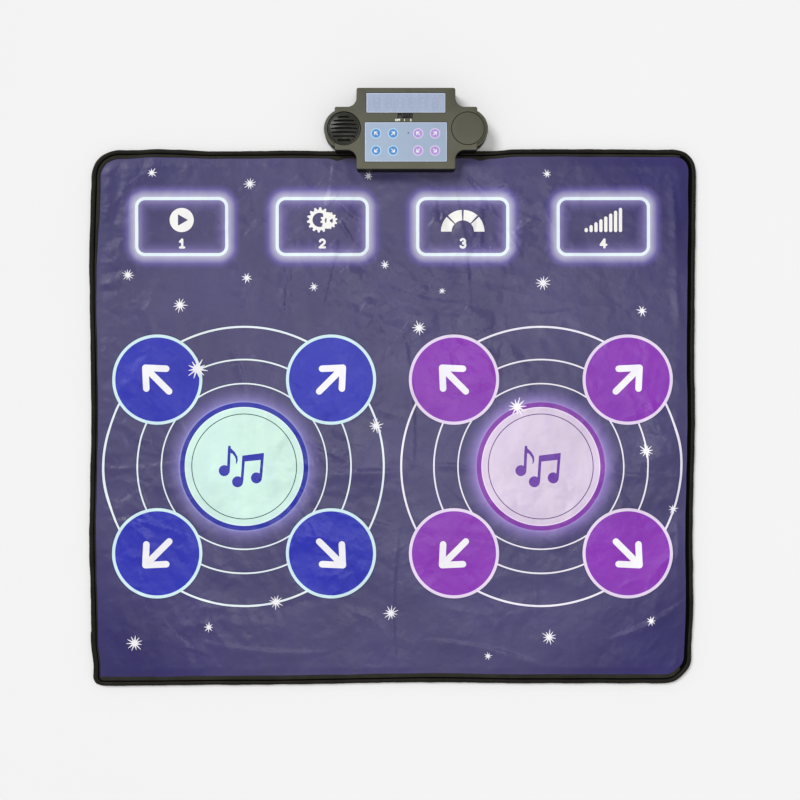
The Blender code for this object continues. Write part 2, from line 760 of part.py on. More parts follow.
def door_plan(shrink):
    """Outline of the battery door: the plate over the bay and its screw tab."""
    half_x = bay_half_length + DOOR_LEDGE - shrink
    back = bay_back + DOOR_LEDGE - shrink
    front = bay_front - DOOR_LEDGE + shrink
    tab_x = DOOR_TAB - shrink
    tab_front = bay_front - BAY_WALL - DOOR_TAB + shrink
    return [
        (half_x, back),
        (-half_x, back),
        (-half_x, front),
        (-tab_x, front),
        (-tab_x, tab_front),
        (tab_x, tab_front),
        (tab_x, front),
        (half_x, front),
    ]


def add_case_bosses(case):
    seat_radius = SCREW_HEAD_RADIUS + GAP + BAY_WALL
    tools = [([circle(at, seat_radius, BOSS_SIDES)], UNIT_LIFT + GAP, seat_top) for at in boss_places()]
    door_boss_top = door_top + SCREW_BITE
    tools.append(([circle(door_screw_place(), boss_radius, BOSS_SIDES)], UNIT_LIFT + GAP, door_boss_top))
    post_low = CLAMP_PLATE_LIFT + CLAMP_PLATE_THICKNESS + GAP
    for x, y in clamp_places():
        ring = circle((x - UNIT_OFFSET_X, y - unit_y), CLAMP_POST_RADIUS, SCREW_SIDES)
        tools.append(([ring], post_low, raised_top + BOSS_WALL))
    boolean(case, several_plates("case_bosses", tools, unit), "UNION")
    bay = block(
        "bay_walls",
        (-bay_half_length - BAY_WALL, bay_front - BAY_WALL, UNIT_LIFT + GAP),
        (bay_half_length + BAY_WALL, bay_back + BAY_WALL, bay_roof),
        unit,
    )
    boolean(case, bay, "UNION")


def cut_case_holes(case):
    bay = block(
        "bay_space",
        (-bay_half_length, bay_front, -GAP),
        (bay_half_length, bay_back, bay_ceiling),
        unit,
    )
    boolean(case, bay)
    boolean(case, plate("door_rebate", [door_plan(0.0)], -GAP, door_top + GAP, unit))
    hole = SCREW_SHANK_RADIUS + GAP
    tools = [([circle(at, SCREW_HEAD_RADIUS + GAP, BOSS_SIDES)], -GAP, head_seat) for at in boss_places()]
    boolean(case, several_plates("head_recesses", tools, unit))
    tools = [([circle(at, hole, SCREW_SIDES)], UNIT_LIFT, seat_top + GAP) for at in boss_places()]
    tools.append(([circle(door_screw_place(), hole, SCREW_SIDES)], 0.0, door_top + SCREW_BITE - BOSS_WALL))
    for x, y in clamp_places():
        ring = circle((x - UNIT_OFFSET_X, y - unit_y), hole, SCREW_SIDES)
        tools.append(([ring], 0.0, raised_top + GAP))
    slot_x = RIBBON_WIDTH / 2 + GAP
    slot_low = local_clamp_y + RIBBON_FOOT / 2 - GAP
    slot_high = slot_low + RIBBON_THICKNESS + 2 * GAP
    slot = [(slot_x, slot_high), (-slot_x, slot_high), (-slot_x, slot_low), (slot_x, slot_low)]
    tools.append(([slot], 0.0, raised_top + GAP))
    boolean(case, several_plates("case_holes", tools, unit))


def make_housing_screws():
    """Pan-head screws that join the rear case to the front cover."""
    low = head_seat - GAP - SCREW_HEAD_HEIGHT
    tip = seat_top + SCREW_BITE
    head, shank = SCREW_HEAD_RADIUS, SCREW_SHANK_RADIUS
    neck = low + SCREW_HEAD_HEIGHT
    profile = ((0.0, tip), (shank, tip), (shank, neck), (head, neck), (head - GAP, low), (0.0, low))
    for index, (x, y) in enumerate(boss_places(), start=1):
        turned(f"housing_screw_{index}", profile, SCREW_SIDES, (x, y, 0.0), unit, looks["steel"])


def make_feet():
    top = UNIT_LIFT - GAP
    profile = ((0.0, top), (FOOT_RADIUS, top), (FOOT_RADIUS - 2 * GAP, 0.0), (0.0, 0.0))
    x = BLOCK_HALF_LENGTH - FOOT_INSET_X
    y = BLOCK_HALF_WIDTH - FOOT_INSET_Y
    for side, sign in (("left", -1), ("right", 1)):
        turned(f"rubber_foot_{side}", profile, BOSS_SIDES, (sign * x, y, 0.0), unit, looks["rubber"])


# What sits in the face
def make_windows():
    for name, ring in zip(("score_window", "icon_window"), window_rings(0.0)):
        plate(name, [ring], window_low, window_top, unit, looks["window"])


def dome(radius, rise, top, steps):
    """Points of a spherical cap from its crown down to its rim."""
    sphere = (radius**2 + rise**2) / (2 * rise)
    spread = math.asin(radius / sphere)
    points = []
    for step in range(steps + 1):
        angle = spread * step / steps
        points.append((sphere * math.sin(angle), top - sphere * (1 - math.cos(angle))))
    return points


def make_grille():
    """Domed grille with level slats, seated by its flange in the left round pocket."""
    low = pocket_floor + GAP
    flange = low + GRILLE_FLANGE
    dome_radius = GRILLE_RADIUS - GRILLE_RIM
    crown = flange + GRILLE_RISE
    outer = dome(dome_radius, GRILLE_RISE, crown, DOME_STEPS)
    inner = dome(dome_radius - GRILLE_WALL, GRILLE_RISE, crown - GRILLE_WALL, DOME_STEPS - 1)
    profile = outer + [(GRILLE_RADIUS, flange), (GRILLE_RADIUS, low), (inner[-1][0], low)] + inner[::-1]
    grille = turned("speaker_grille", profile, ROUND_SIDES, (-round_x, 0.0, 0.0), unit, looks["grille"])
    reach = dome_radius - GRILLE_WALL
    slots = []
    for index in range(SLAT_COUNT):
        middle = (index - (SLAT_COUNT - 1) / 2) * SLAT_PITCH
        near, far = middle - SLAT_OPENING / 2, middle + SLAT_OPENING / 2
        half = math.sqrt(reach**2 - max(abs(near), abs(far)) ** 2)
        slot = rounded_rectangle((-round_x, middle), half, SLAT_OPENING / 2, SLAT_OPENING / 3, steps=1)
        slots.append(([slot], low - GAP, crown + GAP))
    boolean(grille, several_plates("grille_slots", slots, unit))


def make_cap():
    low = pocket_floor + GAP
    top = face_top + CAP_RISE
    edge = arc((CAP_RADIUS - CAP_EDGE_ROUND, top - CAP_EDGE_ROUND), CAP_EDGE_ROUND, 90, 0, 3)
    skirt = CAP_RADIUS - CASE_WALL
    roof = top - CASE_WALL
    profile = [(0.0, top)] + edge + [(CAP_RADIUS, low), (skirt, low), (skirt, roof), (0.0, roof)]
    turned("blanking_cap", profile, ROUND_SIDES, (round_x, 0.0, 0.0), unit, looks["housing"])


def make_switch():
    """Slide switch: its body on the display board and the ridged knob at the right end of its slot."""
    body_top = face_inner - 2 * GAP - CASE_WALL / 2
    half_body = SLOT_WIDTH / 2 + GAP
    block(
        "switch_body",
        (SLOT_CENTRE_X - SLOT_LENGTH / 2, slot_y - half_body, display_low),
        (SLOT_CENTRE_X + SLOT_LENGTH / 2, slot_y + half_body, body_top),
        unit,
        looks["black"],
    )
    knob_x = SLOT_CENTRE_X + (SLOT_LENGTH - KNOB_LENGTH) / 2 - KNOB_CLEARANCE
    half_knob = SLOT_WIDTH / 2 - KNOB_CLEARANCE
    low, high = body_top + GAP, face_top + KNOB_RISE
    half_length = KNOB_LENGTH / 2
    knob = block(
        "switch_knob",
        (knob_x - half_length, slot_y - half_knob, low),
        (knob_x + half_length, slot_y + half_knob, high),
        unit,
        looks["black"],
    )
    pitch = KNOB_LENGTH / (KNOB_RIDGES + 1)
    grooves = []
    for index in range(KNOB_RIDGES):
        middle = knob_x - half_length + (index + 1) * pitch
        near, far = middle - pitch / 4, middle + pitch / 4
        back, front = slot_y + SLOT_WIDTH, slot_y - SLOT_WIDTH
        ring = [(far, back), (near, back), (near, front), (far, front)]
        grooves.append(([ring], high - KNOB_RISE, high + KNOB_RISE))
    boolean(knob, several_plates("knob_grooves", grooves, unit))


# Electronics
def make_boards():
    half_x = ICON_HALF_LENGTH + GAP
    half_y = BLOCK_HALF_WIDTH - CASE_WALL - BOARD_THICKNESS * 2
    block(
        "display_board",
        (-half_x, -half_y, display_board_low),
        (half_x, half_y, display_board_top),
        unit,
        looks["board"],
    )
    block(
        "main_board",
        (-half_x + BOARD_MARGIN, -half_y, main_board_low),
        (half_x - BOARD_MARGIN, bay_back, main_board_top),
        unit,
        looks["board"],
    )


def make_displays():
    """The score display and the icon light guide, under their windows."""
    pairs = (
        ("score_display", score_y, SCORE_HALF_LENGTH, SCORE_HALF_WIDTH),
        ("icon_light_guide", icon_y, ICON_HALF_LENGTH, icon_half_width),
    )
    for name, y, half_x, half_y in pairs:
        half_x -= WINDOW_LEDGE
        half_y -= WINDOW_LEDGE
        low = (-half_x, y - half_y, display_low)
        high = (half_x, y + half_y, display_top)
        block(name, low, high, unit, looks["display"])


def make_speaker():
    """Speaker under the grille: basket, paper cone with its dust cap, and magnet."""
    top = ear_ceiling - GAP
    wall = SPEAKER_WALL
    low = top - SPEAKER_DEPTH
    at = (-round_x, 0.0, 0.0)
    seat = SPEAKER_RADIUS - 2 * wall
    bottom = MAGNET_RADIUS + wall
    basket = (
        (0.0, low + wall),
        (bottom - wall, low + wall),
        (seat - wall, top - wall),
        (seat, top),
        (SPEAKER_RADIUS, top),
        (SPEAKER_RADIUS, top - wall),
        (seat, top - 2 * wall),
        (bottom, low),
        (0.0, low),
    )
    turned("speaker_basket", basket, ROUND_SIDES // 2, at, unit, looks["steel"])
    cap = dome(DUST_CAP_RADIUS, DUST_CAP_RISE, low + 2 * wall + DUST_CAP_RISE, 2)
    rim = seat - 2 * wall
    cone_low = low + wall + GAP
    sides = [(rim, top - wall / 2), (rim, top - wall), (DUST_CAP_RADIUS, cone_low), (0.0, cone_low)]
    turned("speaker_cone", cap + sides, ROUND_SIDES // 2, at, unit, looks["paper"])
    magnet_top = low - GAP
    magnet = (
        (0.0, magnet_top),
        (MAGNET_RADIUS, magnet_top),
        (MAGNET_RADIUS, magnet_top - MAGNET_DEPTH),
        (0.0, magnet_top - MAGNET_DEPTH),
    )
    turned("speaker_magnet", magnet, ROUND_SIDES // 2, at, unit, looks["steel"])


def make_ribbon():
    """Flat tail of the contact films: flat in the cover's window, then up through the rear case."""
    front = local_clamp_y - RIBBON_FOOT / 2
    bend = local_clamp_y + RIBBON_FOOT / 2
    low = upper_film_top + GAP
    socket_low = main_board_low - GAP - CONNECTOR_HEIGHT
    top = socket_low - GAP
    thick = RIBBON_THICKNESS
    section = [
        (front, low),
        (bend + thick, low),
        (bend + thick, top),
        (bend, top),
        (bend, low + thick),
        (front, low + thick),
    ]
    prism_x("ribbon_tail", section, -RIBBON_WIDTH / 2, RIBBON_WIDTH / 2, unit, looks["film"])
    half_x = RIBBON_WIDTH / 2 + BAY_WALL
    block(
        "ribbon_connector",
        (-half_x, bend - BAY_WALL, socket_low),
        (half_x, bend + thick + BAY_WALL, main_board_low - GAP),
        unit,
        looks["black"],
    )


# Battery compartment
def cell_places():
    """Centre and direction of each cell: neighbours point opposite ways."""
    places = []
    for index in range(CELL_COUNT):
        y = bay_back - 2 * GAP - CELL_RADIUS - index * CELL_PITCH
        places.append((index + 1, y, -1 if index % 2 else 1))
    return places


def make_cells():
    reach = bay_half_length - 2 * GAP - CONTACT_THICKNESS
    middle = reach - CELL_LENGTH / 2
    nub = CELL_LENGTH / 2
    body_top = nub - CELL_NUB
    body = (
        (0.0, nub),
        (CELL_NUB_RADIUS, nub),
        (CELL_NUB_RADIUS, body_top),
        (CELL_RADIUS, body_top),
        (CELL_RADIUS, -nub),
        (0.0, -nub),
    )
    spring = (
        (0.0, SPRING_LENGTH / 2),
        (CELL_NUB_RADIUS, SPRING_LENGTH / 2),
        (SPRING_RADIUS, -SPRING_LENGTH / 2),
        (0.0, -SPRING_LENGTH / 2),
    )
    spring_x = middle - CELL_LENGTH / 2 - GAP - SPRING_LENGTH / 2
    for number, y, way in cell_places():
        turn = (0.0, math.radians(90 * way), 0.0)
        at = (way * middle, y, cell_z)
        turned(f"battery_cell_{number}", body, BOSS_SIDES, at, unit, looks["cell"], turn)
        at = (way * spring_x, y, cell_z)
        turned(f"battery_spring_{number}", spring, SCREW_SIDES, at, unit, looks["steel"], turn)


def make_contacts():
    face = bay_half_length - GAP
    low, high = door_top + 2 * GAP, bay_ceiling - GAP
    for side, sign in (("left", -1), ("right", 1)):
        ends = sorted((sign * face, sign * (face - CONTACT_THICKNESS)))
        block(
            f"battery_contact_{side}",
            (ends[0], bay_front + GAP, low),
            (ends[1], bay_back - GAP, high),
            unit,
            looks["steel"],
        )


def make_battery_door():
    """Door over the cells, held by one captive screw. It lifts off downwards."""
    seat = new_empty("battery_door_place", (0.0, (bay_front + bay_back) / 2, door_low))
    seat.parent = unit
    door = plate("battery_door", [door_plan(GAP)], door_low, door_top, seat, looks["housing"])
    door.location.y = -seat.location.y
    door.location.z -= door_low
    x, y = door_screw_place()
    low = door_low + GAP / 2
    local = (x, y - seat.location.y, -door_low)
    grown = countersunk_profile(low, door_top + GAP, GAP)
    boolean(door, turned("door_screw_hole", grown, SCREW_SIDES, local, seat))
    profile = countersunk_profile(low, door_top + SCREW_BITE - BOSS_WALL - GAP)
    turned("battery_door_screw", profile, SCREW_SIDES, local, seat, looks["steel"])


clear_scene()
parts = new_collection("dance_mat_controller")
cutters = new_collection("cutters")
looks = {
    "cover": new_material("printed_vinyl", (0.080, 0.072, 0.190), 0.45),
    "backing": new_material("backing_fabric", (0.030, 0.030, 0.034), 0.85),
    "film": new_material("contact_film", (0.55, 0.57, 0.60), 0.35),
    "foam": new_material("spacer_foam", (0.16, 0.16, 0.17), 0.95),
    "binding": new_material("binding_tape", (0.016, 0.014, 0.013), 0.75),
    "left_pad": new_material("blue_print", (0.065, 0.075, 0.470), 0.42),
    "right_pad": new_material("purple_print", (0.290, 0.085, 0.480), 0.42),
    "key": new_material("key_print", (0.080, 0.072, 0.190), 0.42),
    "housing": new_material("olive_grey_plastic", (0.115, 0.110, 0.085), 0.42),
    "grille": new_material("grille_plastic", (0.060, 0.060, 0.052), 0.35),
    "black": new_material("black_plastic", (0.012, 0.012, 0.013), 0.45),
    "window": new_material("clear_window", (0.400, 0.470, 0.620), 0.15),
    "display": new_material("display_glass", (0.360, 0.420, 0.560), 0.30),
    "board": new_material("circuit_board", (0.030, 0.160, 0.070), 0.50),
    "steel": new_material("plated_steel", (0.560, 0.560, 0.550), 0.35, 1.0),
    "paper": new_material("speaker_paper", (0.050, 0.048, 0.045), 0.90),
    "rubber": new_material("foot_rubber", (0.020, 0.020, 0.020), 0.90),
    "cell": new_material("cell_sleeve", (0.120, 0.130, 0.150), 0.40),
}
unit = new_empty("control_unit", (UNIT_OFFSET_X, unit_y, 0.0))

make_backing()
make_inner_layers()
make_cover()
make_binding()
make_zones()
make_clamp()
make_front_cover()
make_rear_case()
make_housing_screws()
make_feet()
make_windows()
make_grille()
make_cap()
make_switch()
make_boards()
make_displays()
make_speaker()
make_ribbon()
make_cells()
make_contacts()
make_battery_door()
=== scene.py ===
"""Looks of the dance mat controller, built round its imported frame.

The mat lies on Z = 0 with its centre at the origin and the control unit towards +Y. Lengths are in metres.
"""

import math

import bmesh
import bpy
import numpy as np
from mathutils import Matrix, Vector, geometry


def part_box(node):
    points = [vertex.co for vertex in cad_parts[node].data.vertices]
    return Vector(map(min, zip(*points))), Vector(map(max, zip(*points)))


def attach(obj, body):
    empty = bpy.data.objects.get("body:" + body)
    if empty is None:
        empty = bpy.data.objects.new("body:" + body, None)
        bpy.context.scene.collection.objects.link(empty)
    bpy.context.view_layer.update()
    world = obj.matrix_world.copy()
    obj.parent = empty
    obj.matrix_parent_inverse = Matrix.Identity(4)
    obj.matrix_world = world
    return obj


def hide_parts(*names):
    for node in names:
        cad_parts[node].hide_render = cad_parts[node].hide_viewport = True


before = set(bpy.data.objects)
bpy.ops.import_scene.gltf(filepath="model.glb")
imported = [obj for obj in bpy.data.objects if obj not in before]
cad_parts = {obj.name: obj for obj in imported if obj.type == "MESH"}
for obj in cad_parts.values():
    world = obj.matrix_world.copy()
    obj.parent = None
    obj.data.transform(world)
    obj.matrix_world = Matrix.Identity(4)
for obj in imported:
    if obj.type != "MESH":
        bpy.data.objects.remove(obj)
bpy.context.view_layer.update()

# The photograph's picture plane: size of a pixel on the mat, and the pixel of the mat's centre
PIXEL = 0.0014975
MAT_CENTRE_PIXEL = (392.5, 418.0)
PICTURE_CENTRE_PIXEL = (400.0, 400.0)
PICTURE_SIDE = 800
CAMERA_HEIGHT = 1.95

# Gap that touching pieces keep
GAP = 0.0003

# Pixels that the outer edge of the mat passes as it lies, each as (along the side, across it)
LEFT_EDGE = ((175, 91.0), (265, 89.0), (415, 91.0), (535, 89.0), (640, 91.0), (668, 93.5))
RIGHT_EDGE = ((175, 696.0), (360, 694.5), (415, 695.1), (535, 693.0), (610, 693.5), (655, 691.5))
TOP_EDGE = ((125, 150.0), (155, 149.0), (215, 151.0), (305, 150.5), (575, 149.0), (665, 149.5))
BOTTOM_EDGE = ((110, 686.0), (245, 685.0), (440, 682.5), (515, 683.5), (665, 683.5))
EDGE_MOVES = (0.0140, 0.0300)

# Radii of the mat's corners, from the upper right round by the upper left
MAT_CORNERS = (0.0315, 0.0410, 0.0150, 0.0440)

# Width of the binding on each side as it lies, and of its rolled outer part
BINDING_WIDTHS = {"left": 0.0103, "right": 0.0116, "top": 0.0114, "bottom": 0.0139}
ROLL_WIDTHS = {"left": 0.0083, "right": 0.0074, "top": 0.0072, "bottom": 0.0074}
TAPE_END_PIXEL = (90.0, 632.0)

# Where the binding is laid on wider: pixel, how far that reaches, and the width it adds
WIDE_PLACES = (
    ((91.0, 195.0), 0.0900, 0.0042), ((337.5, 152.0), 0.0080, 0.0036), ((480.5, 152.0), 0.0090, 0.0036),
)
COVER_INSET = 0.0013
SKIN_NET = 0.0033
NET_JITTER = 0.28
ZONE_SIDES = 120
CENTRE_ZONE_SIDES = 160
ORBIT_SIDES = 200
KEY_CORNER = 0.0150
KEY_LINE = 0.0047

# Rounded parts of the print, as radii on the mat
CENTRE_DISC = 0.0890
CENTRE_RIM_LINE = 0.0785
CENTRE_LINE_WIDTH = 0.0013
RIM_HIGHLIGHT = 0.0014
SMALL_DISC = 0.0630
ORBITS = ((0.1240, 0.0021), (0.1600, 0.0024), (0.2090, 0.0030))
ORBIT_EDGE = 0.0008

# Printed light: stops as (millimetres from the edge, colour, share), from inside the key frames outwards
FRAME_GLOW = (
    (-24.0, (76, 68, 124), 0.0), (-12.0, (96, 87, 142), 1.0), (-5.0, (132, 124, 176), 1.0),
    (0.0, (190, 187, 214), 1.0), (11.0, (100, 90, 158), 1.0), (20.0, (76, 66, 126), 0.0),
)
LEFT_CENTRE_GLOW = ((0.0, (150, 147, 212), 1.0), (3.0, (122, 114, 174), 1.0), (26.0, (70, 62, 118), 0.0))
RIGHT_CENTRE_GLOW = ((0.0, (160, 136, 204), 1.0), (3.0, (134, 116, 182), 1.0), (26.0, (70, 62, 118), 0.0))

# Stars of the print: place in pixels of the photograph, and radius in pixels
STARS = (
    (152, 173, 5), (250, 184, 6), (128, 275, 6), (180, 305, 7), (247, 278, 5.5), (314, 287, 4.5),
    (385, 265, 4.5), (442, 291, 3.5), (547, 174, 4.5), (543, 283, 7), (642, 311, 5.5), (419, 328, 7),
    (197, 369, 10), (376, 426, 7), (276, 602, 7), (391, 613, 7), (517, 407, 9), (646, 451, 7),
    (673, 509, 5), (549, 637, 7), (651, 621, 5), (488, 656, 4), (209, 627, 5), (135, 643, 8),
    (368.5, 176, 4.5),
)

# Creases that the photograph shows in the skin: two ends and a bend, in pixels, then width and rise
CREASES = (
    ((480, 192), (478, 262), 3, 0.0040, 0.0013),
    ((488.2, 176), (488.6, 266), 1, 0.0030, -0.0010),
    ((438.8, 200), (439.6, 222), 1, 0.0022, -0.0011),
    ((671, 176), (675, 262), 2, 0.0050, 0.0010),
    ((676, 262), (682, 330), -2, 0.0045, 0.0009),
    ((459, 174), (524, 262), 6, 0.0045, 0.0010),
    ((462, 172), (560, 228), -8, 0.0050, 0.0009),
    ((452, 178), (470, 330), 5, 0.0050, 0.0008),
    ((360, 178), (318, 330), -4, 0.0050, 0.0007),
    ((354, 174), (262, 262), 5, 0.0045, 0.0006),
    ((312, 478), (408, 472), 3, 0.0060, 0.0011),
    ((314, 500), (404, 528), -5, 0.0055, 0.0008),
    ((96, 468), (182, 461), -3, 0.0055, 0.0008),
    ((100, 519), (196, 540), 6, 0.0050, 0.0007),
    ((338.5, 219), (353, 243), 1, 0.0036, 0.0016),
    ((312, 236), (337, 233.5), -3, 0.0030, -0.0012),
    ((283, 258), (281, 332), 2, 0.0035, 0.0007),
    ((291, 258), (293, 316), -2, 0.0035, 0.0006),
    ((598, 430), (688, 402), 5, 0.0055, 0.0009),
    ((606, 640), (690, 596), -5, 0.0060, 0.0012),
    ((420, 640), (548, 668), 6, 0.0060, 0.0009),
    ((196, 640), (330, 652), -5, 0.0060, 0.0009),
    ((402, 330), (412, 470), 5, 0.0060, 0.0008),
    ((400, 520), (396, 676), -5, 0.0060, 0.0009),
    ((228, 340), (246, 402), 4, 0.0045, 0.0006),
    ((430, 466), (474, 470), 3, 0.0045, 0.0009),
    ((600, 470), (690, 474), -4, 0.0060, 0.0009),
)
LOOSE_CREASES = 95
CREASE_SEED = 7
CREASE_RISE = 1.5

# Patches where the skin is crushed most: pixel, radius in pixels and added strength
CRUSHED_PATCHES = (
    (345, 235, 34, 1.3), (500, 232, 46, 1.2), (466, 228, 30, 0.9), (470, 320, 44, 0.7), (310, 470, 60, 0.8),
    (140, 480, 50, 0.8), (150, 560, 60, 0.5), (230, 600, 50, 0.5), (330, 560, 40, 0.6), (560, 500, 50, 0.6),
    (640, 430, 40, 0.6), (400, 300, 60, 0.5), (250, 210, 26, 0.6), (540, 200, 40, 0.6),
)

ROUND_ZONES = tuple(
    f"{side}_pad_{spot}"
    for side in ("left", "right")
    for spot in ("centre", "upper_left", "upper_right", "lower_left", "lower_right")
)
MENU_ZONES = ("menu_key_start", "menu_key_mode", "menu_key_level", "menu_key_volume")

cover_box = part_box("top_cover")
binding_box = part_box("edge_binding")
backing_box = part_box("bottom_backing")
foam_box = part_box("spacer_foam")
half_x, half_y = binding_box[1].x, binding_box[1].y
skin_low, skin_top = cover_box[0].z, cover_box[1].z
mat_top = binding_box[1].z
front_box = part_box("front_cover")
unit_x = (front_box[0].x + front_box[1].x) / 2
unit_y = (front_box[0].y + front_box[1].y) / 2


def centre_of(node):
    low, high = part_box(node)
    return (low.x + high.x) / 2, (low.y + high.y) / 2


def reach_of(node):
    low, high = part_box(node)
    return (high.x - low.x) / 2, (high.y - low.y) / 2


def on_mat(pixel):
    """Place on the mat of a pixel of the photograph."""
    return (pixel[0] - MAT_CENTRE_PIXEL[0]) * PIXEL, (MAT_CENTRE_PIXEL[1] - pixel[1]) * PIXEL


# Outlines, as lists of points in turn
def arc(centre, radius, start, end, steps):
    """Points along an arc, with the angles in degrees and both ends included."""
    points = []
    for step in range(steps + 1):
        angle = math.radians(start + (end - start) * step / steps)
        points.append((centre[0] + radius * math.cos(angle), centre[1] + radius * math.sin(angle)))
    return points


def circle(centre, radius, sides):
    return arc(centre, radius, 0, 360, sides)[:-1]


def rounded_box(centre, reach, corner, steps=8):
    """Loop of a box with rounded corners: one radius, or four from the upper right corner round."""
    radii = corner if hasattr(corner, "__len__") else (corner,) * 4
    points = []
    for quarter, radius in enumerate(radii):
        sign_x = 1 if quarter in (0, 3) else -1
        sign_y = 1 if quarter in (0, 1) else -1
        middle = (centre[0] + sign_x * (reach[0] - radius), centre[1] + sign_y * (reach[1] - radius))
        points += arc(middle, radius, 90 * quarter, 90 * quarter + 90, steps)
    return points


def mat_loop(inset, steps=12):
    """Outline of a layer of the mat, set in from the mat's edge."""
    radii = [radius - inset for radius in MAT_CORNERS]
    return rounded_box((0, 0), (half_x - inset, half_y - inset), radii, steps)


def even_steps(loop, step):
    """The same loop with its long straight runs cut into even steps."""
    points = []
    for first, second in zip(loop, loop[1:] + loop[:1]):
        count = max(1, round(math.dist(first, second) / step))
        for index in range(count):
            share = index / count
            points.append(tuple(a + (b - a) * share for a, b in zip(first, second)))
    return points


def capsule(first, second, width, steps=6):
    """Outline of one round-ended stroke."""
    angle = math.degrees(math.atan2(second[1] - first[1], second[0] - first[0]))
    radius = width / 2
    ahead = arc(second, radius, angle - 90, angle + 90, steps)
    return ahead + arc(first, radius, angle + 90, angle + 270, steps)


# Stars: half the width of a ray's tip in degrees, and where two rays part as a share of the radius
RAY_TIP = 1.5
RAY_ROOT = 0.34


def star(centre, radius, rays, seed):
    """A small star with a solid middle and uneven pointed rays."""
    draw = np.random.default_rng(seed)
    turn = draw.uniform(0, 360)
    points = []
    for ray in range(rays):
        long = radius * draw.uniform(0.82, 1.12)
        middle = turn + 360 * (ray + draw.uniform(-0.08, 0.08)) / rays
        tip = ((middle - RAY_TIP, long), (middle + RAY_TIP, long), (middle + 180 / rays, radius * RAY_ROOT))
        for angle, reach in tip:
            around = math.radians(angle)
            points.append((centre[0] + reach * math.cos(around), centre[1] + reach * math.sin(around)))
    return points


def gear(centre, radius, teeth, depth):
    """Outline of a toothed wheel with blunt teeth."""
    points = []
    for tooth in range(teeth):
        for share, reach in ((0.0, radius - depth), (0.20, radius), (0.50, radius), (0.70, radius - depth)):
            around = math.tau * (tooth + share) / teeth
            points.append((centre[0] + reach * math.cos(around), centre[1] + reach * math.sin(around)))
    return points


# The print: inks laid over the field one after another, each on closed loops with even and odd filling
class Print:
    def __init__(self):
        self.shapes = []

    def lay(self, ink, *loops):
        self.shapes.append((ink, [np.array(loop) for loop in loops]))

    def stroke(self, ink, points, width):
        for first, second in zip(points, points[1:]):
            self.lay(ink, capsule(first, second, width))

    def loops(self):
        return [loop.tolist() for ink, loops in self.shapes for loop in loops]

    def inks_at(self, places, field):
        """Name of the topmost ink at each place."""
        names = np.full(len(places), field, dtype=object)
        for ink, loops in self.shapes:
            low = np.min([loop.min(0) for loop in loops], axis=0)
            high = np.max([loop.max(0) for loop in loops], axis=0)
            near = np.nonzero(np.all((places >= low) & (places <= high), axis=1))[0]
            filled = np.zeros(len(near), bool)
            for loop in loops:
                filled ^= inside(places[near], loop)
            names[near[filled]] = ink
        return names


def inside(places, loop):
    return enclosed(places, loop, np.roll(loop, -1, axis=0))


def enclosed(places, starts, ends):
    """Whether each place lies inside the loops that these edges make, by counting crossings."""
    x, y = places[:, 0], places[:, 1]
    found = np.zeros(len(places), bool)
    for (ax, ay), (bx, by) in zip(starts, ends):
        if ay != by:
            crosses = (ay > y) != (by > y)
            found ^= crosses & (x < (bx - ax) * (y - ay) / (by - ay) + ax)
    return found


def print_orbits(art):
    for side, ink in (("left", "orbit_mint"), ("right", "orbit_lilac")):
        middle = centre_of(f"{side}_pad_centre")
        for radius, width in ORBITS:
            for shade, half in (("orbit_edge", width / 2 + ORBIT_EDGE), (ink, width / 2)):
                rings = [circle(middle, radius + sign * half, ORBIT_SIDES) for sign in (1, -1)]
                art.lay(shade, *rings)


def print_arrow(art, ink, centre, way, size, width):
    """An arrow with round ends that points along way, a unit vector."""
    across = (-way[1], way[0])

    def spot(along, aside):
        return (
            centre[0] + size * (along * way[0] + aside * across[0]),
            centre[1] + size * (along * way[1] + aside * across[1]),
        )

    tip = spot(0.5, 0.0)
    art.stroke(ink, [spot(-0.5, 0.0), tip], width)
    art.stroke(ink, [spot(0.04, 0.42), tip, spot(0.04, -0.42)], width)


def print_note_heads(art, ink, centre, scale):
    """A flagged note and a beamed pair, drawn from round heads and straight or bent strokes."""

    def spot(x, y):
        return (centre[0] + x * scale, centre[1] + y * scale)

    head = 5.5 * scale
    for x, y in ((-19.9, -4.2), (-6.5, -15.3), (12.3, -11.4)):
        art.lay(ink, circle(spot(x, y), head, 28))
    stem = 2.8 * scale
    art.stroke(ink, [spot(-15.8, -3.6), spot(-14.8, 19.4)], stem)
    art.stroke(ink, [spot(-2.2, -14.6), spot(-0.6, 9.2)], stem)
    art.stroke(ink, [spot(16.6, -10.8), spot(18.5, 12.0)], stem)
    art.lay(ink, [spot(-1.9, 10.8), spot(19.9, 13.6), spot(19.6, 6.9), spot(-1.8, 4.6)])
    flag = [(-16.1, 20.6), (-13.6, 18.4), (-9.4, 14.4), (-6.8, 9.8), (-6.4, 6.0), (-7.6, 2.6), (-8.4, 2.8)]
    flag += [(-8.2, 6.8), (-9.4, 9.8), (-11.6, 12.6), (-13.8, 13.4)]
    art.lay(ink, [spot(x, y) for x, y in flag])


